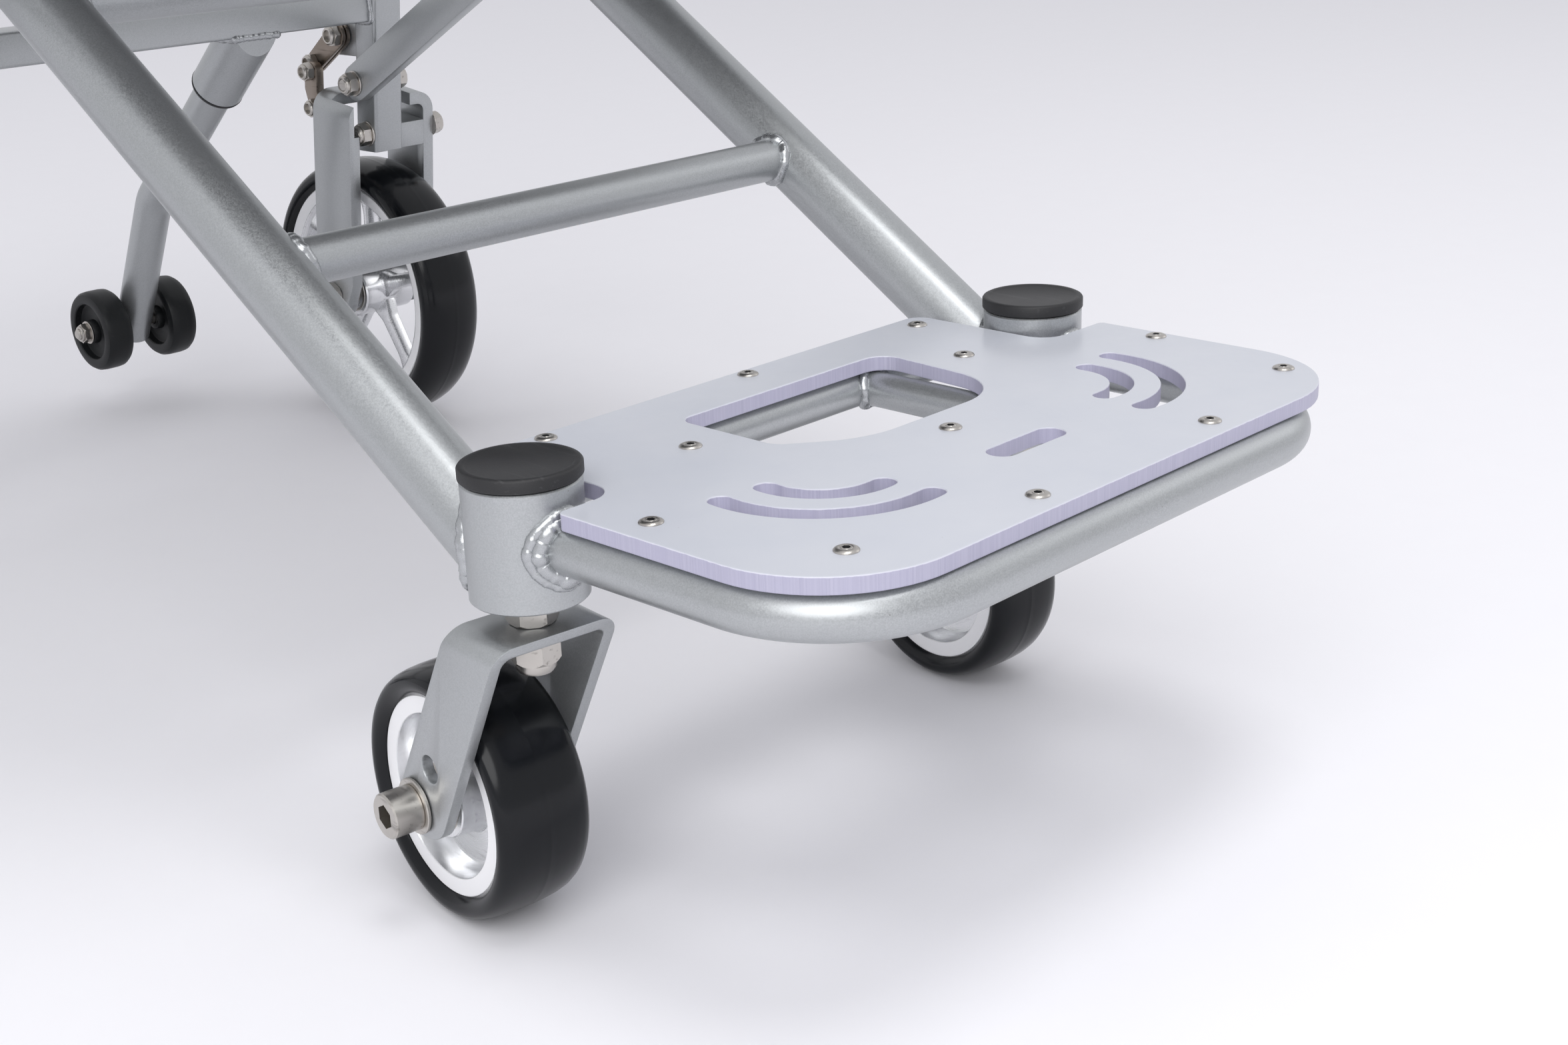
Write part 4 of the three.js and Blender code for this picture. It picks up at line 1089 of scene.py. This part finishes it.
def makeSideFrame(name, side):
    mirror = side < 0
    p, c = postSizes, caneSizes
    crossY = crossTubeSizes["middleCrossTube"]["y"]
    half = p["wide"] / 2
    section = rounded([(-half, -half, p["corner"]), (half, -half, p["corner"]), (half, half, p["corner"]),
                       (-half, half, p["corner"])], 4)
    post = soften(prism(section, p["top"] - p["bottom"]), 0.0005, 60)
    shear = Matrix(((1, 0, 0, postX), (0, 1, -postLean, postY(p["bottom"])), (0, 0, 1, p["bottom"]),
                    (0, 0, 0, 1)))
    piece = bmesh.new()
    place(piece, post, shear)
    y = postY(p["top"])
    corners = [Vector((postX, y + 0.004, p["top"] - 0.040)), Vector((postX, y + 0.006, 0.620)),
               Vector((postX, y + 0.040, c["top"])), Vector((postX, y + 0.190, c["top"] + 0.016))]
    place(piece, sweep(bentPath(corners, c["bend"], 14), c["radius"], xAxis, 40))
    lugY = postY(0.262)
    place(piece, blockBetween((postX - 0.007, lugY + 0.004, 0.248),
                              (postX + 0.003, lugY + 0.038, railLow.z - runGap)))
    finishPiece(f"rearPost_{name}", piece, paint, [f"rear_post_{name}"], mirrored=mirror)

    # Moulded grip with finger rings and a closed end
    start, end = Vector((postX, y + 0.092, c["top"] + 0.0055)), Vector((postX, y + 0.197, c["top"] + 0.0167))
    along = (end - start).normalized()
    profile = [(c["radius"] + 0.0004, 0), (c["grip"] + 0.0006, 0), (c["grip"] + 0.0008, 0.004)]
    for i in range(9):
        profile += [(c["grip"], 0.010 + i * 0.010), (c["grip"] - 0.0009, 0.0125 + i * 0.010),
                    (c["grip"] - 0.0009, 0.0150 + i * 0.010), (c["grip"], 0.0175 + i * 0.010)]
    length = (end - start).length
    profile += [(c["grip"] + 0.0006, length - 0.003), (c["grip"], length - 0.0008),
                (c["grip"] - 0.0012, length), (c["radius"] + 0.0004, length)]
    finishPiece(f"pushGrip_{name}", [(turned(profile, 48), ringMatrix(start, along, xAxis))], gripRubber,
                [f"push_grip_{name}"], mirrored=mirror)

    s = strutSizes
    slope = atan(s["slope"])
    reach = (seatHigh.z - seatTube - s["lowZ"]) / sin(slope)
    shape = arcPoints(0, 0, s["half"], pi / 2, pi * 1.5, 20) + [(reach, -s["half"]), (reach, s["half"])]
    strutX = postX - half - runGap - s["thick"]
    bar = soften(prism(shape, s["thick"]), 0.0008)
    # Local X runs up the strut, which rises towards the front
    upStrut = Matrix(((0, 0, 1, strutX), (-cos(slope), sin(slope), 0, postY(s["lowZ"])),
                      (sin(slope), cos(slope), 0, s["lowZ"]), (0, 0, 0, 1)))
    finishPiece(f"sideStrut_{name}", [(bar, upStrut)], paint, [f"side_strut_{name}"], mirrored=mirror)

    # Bolts through the post: a locking nut inside, a hexagon head outside
    piece = bmesh.new()
    lowBolt = (hinge.y, hinge.z, postX - half, rearAxle.x + rearFork["half"])
    for y, z, inside, outside in ((postY(s["lowZ"]), s["lowZ"], strutX, postX + half), lowBolt):
        base = Matrix.Translation((0, y, z)) @ acrossX
        place(piece, turned([(0, inside - 0.0096), (0.0034, inside - 0.0096), (p["bolt"], inside - 0.0090),
                             (p["bolt"], outside + 0.001), (0, outside + 0.001)], 28), base)
        for at, turn in ((inside, turnOver), (outside, Matrix())):
            place(piece, washer(p["bolt"], 0.0082, 0.0012), base @ raised(at) @ turn)
            place(piece, hexNut(0.0150, 0.0062, collar=0.0022 if at == inside else 0),
                  base @ raised(at) @ turn @ raised(0.0012))
    finishPiece(f"postBolts_{name}", piece, nickel, [f"hinge_bolt_{name}"], mirrored=mirror)

    finishPiece(f"frontUpright_{name}", [tube(inChair(stem.x, crossY, 0.330),
                                              inChair(stem.x, crossY, seatHigh.z - seatTube), 0.011, 48)],
                paint, [f"front_upright_{name}"], mirrored=mirror)
    piece = bmesh.new()
    hit = outsideRound(mainPoint(1, 0), mainAlong, mainTube["radius"])
    seam = seamAround(inChair(stem.x, crossY, 0.400), -upAxis, 0.0112, lambda point: -hit(point), 130, 0.07)
    place(piece, beadOn(seam, upAxis, 0.0046))
    seam = seamAround(inChair(stem.x, crossY - 0.002, 0.400), -upAxis, 0.0142, lambda point: -hit(point),
                      130, 0.07)
    place(piece, beadOn(seam, upAxis, 0.0040, 0.0070, 0.5))
    finishPiece(f"uprightWeld_{name}", piece, weld, mirrored=mirror)


for name, side in sides.items():
    makeSideFrame(name, side)
finishPiece("rearCrossRail", [soften(blockBetween(railLow, railHigh, 0), railCorner, segments=3)], paint,
            ["rear_cross_rail"])

# Beads round both ends of the rail, where it meets the posts
piece = bmesh.new()
for end in (railLow.x, railHigh.x):
    corners = [(railLow.y, railLow.z), (railHigh.y, railLow.z), (railHigh.y, railHigh.z),
               (railLow.y, railHigh.z)]
    outline = rounded([(y, z, 0.003) for y, z in corners], 6)
    path = []
    for here, ahead in zip(outline, outline[1:] + outline[:1]):
        steps = max(1, round((Vector(ahead) - Vector(here)).length / 0.0008))
        path += [Vector((end, *Vector(here).lerp(Vector(ahead), k / steps))) for k in range(steps)]
    place(piece, beadOn(path, xAxis, 0.0022, 0.0036))
finishPiece("railWeld", piece, weld)
print("side frames done")

# Catch: two flat links and a domed nut behind each post
catchSizes = {"y": 0.630, "z": 0.262, "length": 0.034, "drop": 34, "thick": 0.0025, "wide": 0.0068,
              "nut": 0.0148}


def makeCatch(name, side):
    s = catchSizes
    x = postX - 0.0073
    base = Matrix.Translation((x, stem.y + s["y"], s["z"])) @ Matrix.Rotation(-radians(s["drop"]), 4, "X")
    shape = arcPoints(0, 0, 0.0082, pi / 2, pi * 1.5, 14)
    shape += arcPoints(s["length"], 0, s["wide"], -pi / 2, pi / 2, 14)
    links = [(soften(prism(shape, s["thick"]), 0.0004), base @ Matrix.Translation((x, 0, 0)) @ acrossX)
             for x in (-0.0030, -0.0066)]
    finishPiece(f"catchLinks_{name}", links, brownSteel, [f"catch_lever_{name}"],
                body=f"catch_lever_{name}", mirrored=side < 0)
    piece = bmesh.new()
    for along, size in ((0, s["nut"]), (s["length"], s["nut"] * 0.8)):
        place(piece, hexNut(size, 0.0042, collar=0.0024),
              base @ Matrix.Translation((-0.0068, along, 0)) @ acrossX @ turnOver)
    finishPiece(f"catchNuts_{name}", piece, nickel, body=f"catch_lever_{name}", mirrored=side < 0)


# Anti-tip legs: a bent tube in a sleeve under the rail, with two small wheels
antitipSizes = {"x": 0.146, "sleeve": 0.0165, "tube": 0.012, "bend": 0.034, "half": 0.010,
                "offset": 0.025, "elbow": 0.1806, "foot": (0.795, 0.0613), "sleeveEnd": 0.052}
smallWheel = [(0.0045, 0.0100), (0.0075, 0.0100), (0.0080, 0.0094), (0.0084, 0.0050), (0.0100, 0.0042),
              (0.0175, 0.0042), (0.0190, 0.0050), (0.0196, 0.0090), (0.0202, 0.0096), (0.0236, 0.0100),
              (0.0262, 0.0092), (0.0276, 0.0072), (0.0280, 0.0040)]


def sleevePoint(x, distance):
    return inChair(x, 0.604 + 0.764 * distance, 0.2721 - 0.645 * distance)


def makeAntitip(name, side):
    s = antitipSizes
    mirror = side < 0
    piece = bmesh.new()
    along = (sleevePoint(0, 1) - sleevePoint(0, 0)).normalized()
    start = ringMatrix(sleevePoint(s["x"], -0.020), along, xAxis)
    inside, long = s["tube"] + runGap, 0.020 + s["sleeveEnd"]
    place(piece, turned([(0, 0), (s["sleeve"], 0), (s["sleeve"], long - 0.0006), (s["sleeve"] - 0.0006, long),
                         (inside, long), (inside, 0.040), (0, 0.040)], 56), start)
    for low, high in (((0, railLow.y - 0.06, railLow.z + 0.001), (0.3, railHigh.y - 0.001, 0.34)),
                      ((0, railLow.y - 0.06, 0.20), (0.3, railLow.y + 0.0005, 0.34))):
        piece = boolean(piece, blockBetween(low, high, 0))
    finishPiece(f"antitipSleeve_{name}", piece, paint, [f"antitip_sleeve_{name}"], mirrored=mirror)
    finishPiece(f"antitipRing_{name}", [(turned([(s["tube"] + 0.0001, long), (s["sleeve"] - 0.0002, long),
                                                 (s["sleeve"] + 0.0002, long + 0.0005),
                                                 (s["sleeve"] - 0.0002, long + 0.0018),
                                                 (s["tube"] + 0.0001, long + 0.0018)], 56), start)],
                capPlastic, mirrored=mirror)

    # The bead follows the rail's underside and climbs its rear face
    seam = seamAround(sleevePoint(s["x"], s["sleeveEnd"]), -along, s["sleeve"],
                      lambda p: min(railHigh.y - p.y, p.z - railLow.z), 150, 0.09)
    seam = [Vector((p.x, max(p.y, railLow.y + 0.0015), p.z)) for p in seam]
    finishPiece(f"sleeveWeld_{name}", [beadOn(seam, along, 0.0026)], weld, mirrored=mirror)

    rides = f"antitip_{name}"
    foot = inChair(s["x"], *s["foot"])
    piece = bmesh.new()
    elbow = sleevePoint(s["x"], s["elbow"])
    corners = [sleevePoint(s["x"], 0.024), elbow, foot + (foot - elbow).normalized() * 0.009]
    place(piece, sweep(bentPath(corners, s["bend"], 14), s["tube"], xAxis, 44))
    finishPiece(f"antitipTube_{name}", piece, paint, [f"antitip_tube_{name}"], body=rides,
                mirrored=mirror)
    piece = bmesh.new()
    reach = s["offset"] + s["half"]
    base = Matrix.Translation(foot) @ acrossX
    for turn in (Matrix(), turnOver):
        place(piece, washer(0.004, 0.0080, 0.0010), base @ turn @ raised(reach + runGap))
        place(piece, hexNut(0.0138, 0.0045, collar=0.0018), base @ turn @ raised(reach + 0.0013))
        place(piece, threadedEnd(0.0038, 0.0038), base @ turn @ raised(reach + 0.0052))
    place(piece, turned([(0, -reach - 0.006), (0.004, -reach - 0.006), (0.004, reach + 0.006),
                         (0, reach + 0.006)], 28), base)
    finishPiece(f"antitipAxle_{name}", piece, nickel, body=rides, mirrored=mirror)
    for spot, way in (("inner", -1), ("outer", 1)):
        hub = Matrix.Translation(foot + Vector((way * s["offset"], 0, 0))) @ acrossX
        node = f"antitip_wheel_{name}_{spot}"
        finishPiece(f"antitipWheel_{name}_{spot}", [(turned(mirroredProfile(smallWheel), 72), hub)],
                    smallWheelPlastic, [node], body=node, mirrored=mirror)


for name, side in sides.items():
    makeCatch(name, side)
    makeAntitip(name, side)
print("catches and anti-tip legs done")

# Seat frame with its cloth seat, and the cloth back between the canes
seatSizes = {"tube": seatTube, "rail": 0.022, "corner": 0.003, "crossY": (0.074, 0.292, 0.538)}
slingSizes = {"half": 0.250, "front": 0.069, "back": 0.544, "thick": 0.0014, "sag": 0.006, "hem": 0.022,
              "backLow": 0.612, "backHigh": 0.878, "backHalf": 0.252, "belly": 0.010}


def makeSeatFrame():
    s = seatSizes
    z = seatHigh.z - s["tube"]
    piece = bmesh.new()
    half = s["rail"] / 2
    backY = postY(z) - postSizes["wide"] / 2 - 0.0018
    for side in sides.values():
        low = (side * postX - half, stem.y + 0.062, z - half)
        high = (side * postX + half, backY, z + half)
        place(piece, soften(blockBetween(low, high, 0), s["corner"], segments=3))
    for y in s["crossY"]:
        place(piece, tube(inChair(-postX, y, z), inChair(postX, y, z), s["tube"], 56))
    finishPiece("seatFrame", piece, paint, ["seat_frame"])


def clothSheet(columns, rows, shape, thick):
    # A grid shaped by shape(u, v) and given its thickness
    part = bmesh.new()
    bmesh.ops.create_grid(part, x_segments=columns, y_segments=rows, size=0.5)
    for vert in part.verts:
        vert.co = shape(vert.co.x + 0.5, vert.co.y + 0.5)
    bmesh.ops.solidify(part, geom=part.faces[:], thickness=thick)
    bmesh.ops.recalc_face_normals(part, faces=part.faces)
    return part


def stitchesAlong(target, shape, start, end, lift, pitch=0.0042):
    # Thread stitches in a row on the cloth, from start to end in the sheet's (u, v)
    a, b = Vector(start), Vector(end)
    length = (shape(*b) - shape(*a)).length
    count = int(length / pitch)
    for i in range(count):
        p, q = shape(*a.lerp(b, (i + 0.15) / count)) + lift, shape(*a.lerp(b, (i + 0.80) / count)) + lift
        place(target, sweep([p, p.lerp(q, 0.2), p.lerp(q, 0.8), q], 0.00045, lift.normalized(), 6,
                            swell=lambda k: (0.4, 1, 1, 0.4)[k]))


def makeSlings():
    s = slingSizes
    tubeTop = seatHigh.z + 0.0005
    crosses = [(y - s["front"]) / (s["back"] - s["front"]) for y in seatSizes["crossY"]]

    def seatShape(u, v):
        span = crosses[1] - crosses[0] if v < crosses[1] else crosses[2] - crosses[1]
        start = crosses[0] if v < crosses[1] else crosses[1]
        between = min(max((v - start) / span, 0), 1)
        sag = s["sag"] * sin(pi * between) * sin(pi * u) ** 0.7
        return inChair(s["half"] * (2 * u - 1), s["front"] + (s["back"] - s["front"]) * v,
                       tubeTop + s["thick"] + s["sag"] * 0.3 + 0.004 - sag)

    def backShape(u, v):
        z = s["backLow"] + (s["backHigh"] - s["backLow"]) * v
        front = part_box("back_sling")[0].y + 0.0075 + 0.031 * v
        belly = s["belly"] * (sin(pi * u) ** 0.8) * (0.55 + 0.45 * sin(pi * v))
        return Vector((s["backHalf"] * (2 * u - 1), front + belly - 0.004, z))

    places = (("seatSling", seatShape, (0, 0, 0), "seat_sling", upAxis,
               (2 * s["half"], s["back"] - s["front"]), ["seatFrame"]),
              ("backSling", backShape, (pi / 2, 0, 0), "back_sling", Vector((0, -1, 0.12)),
               (2 * s["backHalf"], s["backHigh"] - s["backLow"]), ["rearPost_left", "rearPost_right"]))
    for name, shape, turn, node, lift, flat, rests in places:
        material = slingCloth(name + "Cloth", turn)
        sheetPiece = finishPiece(name, clothSheet(72, 64, shape, s["thick"]), material, [node],
                                 smooth=60)
        trim = bmesh.new()
        widths = [s["hem"] / flat[0], s["hem"] / flat[1]]
        out = lift.normalized() * 0.0011
        for low, high in (((0, 0), (widths[0], 1)), ((1 - widths[0], 0), (1, 1)),
                          ((0, 0), (1, widths[1])), ((0, 1 - widths[1]), (1, 1))):
            def band(u, v, low=low, high=high):
                return shape(low[0] + (high[0] - low[0]) * u, low[1] + (high[1] - low[1]) * v) + out
            wide = high[0] - low[0] > 0.5
            place(trim, clothSheet(64 if wide else 4, 4 if wide else 64, band, 0.0013))
        trimPiece = finishPiece(name + "Hem", trim, material, smooth=60)
        thread = bmesh.new()
        for inset in (0.25, 0.85):
            u, v = widths[0] * inset, widths[1] * inset
            for start, end in (((u, v), (u, 1 - v)), ((1 - u, v), (1 - u, 1 - v)), ((u, v), (1 - u, v)),
                               ((u, 1 - v), (1 - u, 1 - v))):
                stitchesAlong(thread, shape, start, end, out * 1.9)
        threadPiece = finishPiece(name + "Thread", thread, gripRubber)


makeSeatFrame()
makeSlings()
print("seat and back done")


# Pale floor and soft studio light
lights = {"key": {"place": (-0.12, -0.85, 2.30), "aim": (-0.10, -0.25, 0.15), "size": 0.8, "power": 11},
          "fill": {"place": (-1.90, -1.70, 1.90), "aim": (-0.2, -0.4, 0.1), "size": 2.6, "power": 48},
          "side": {"place": (2.60, -1.25, 1.60), "aim": (0.1, -0.4, 0.1), "size": 1.4, "power": 4},
          "world": (0.962, 0.966, 1.0), "worldStrength": 0.77}


def makeStudio():
    part = bmesh.new()
    bmesh.ops.create_grid(part, x_segments=4, y_segments=4, size=9)
    mesh = bpy.data.meshes.new("studioFloor")
    part.to_mesh(mesh)
    part.free()
    mesh.materials.append(floorPaper())
    floor = bpy.data.objects.new("studioFloor", mesh)
    chairScene.collection.objects.link(floor)
    for name in ("key", "fill", "side"):
        s = lights[name]
        data = bpy.data.lights.new(name + "Light", "AREA")
        data.shape = "DISK"
        data.size = s["size"]
        data.energy = s["power"]
        lamp = bpy.data.objects.new(name + "Light", data)
        lamp.location = s["place"]
        lamp.rotation_euler = (Vector(s["aim"]) - Vector(s["place"])).to_track_quat("-Z", "Y").to_euler()
        chairScene.collection.objects.link(lamp)
    world = bpy.data.worlds.new("studioWorld")
    world.use_nodes = True
    shade = world.node_tree.nodes["Background"]
    shade.inputs["Color"].default_value = (*lights["world"], 1)
    shade.inputs["Strength"].default_value = lights["worldStrength"]
    chairScene.world = world


makeStudio()
print("studio done")
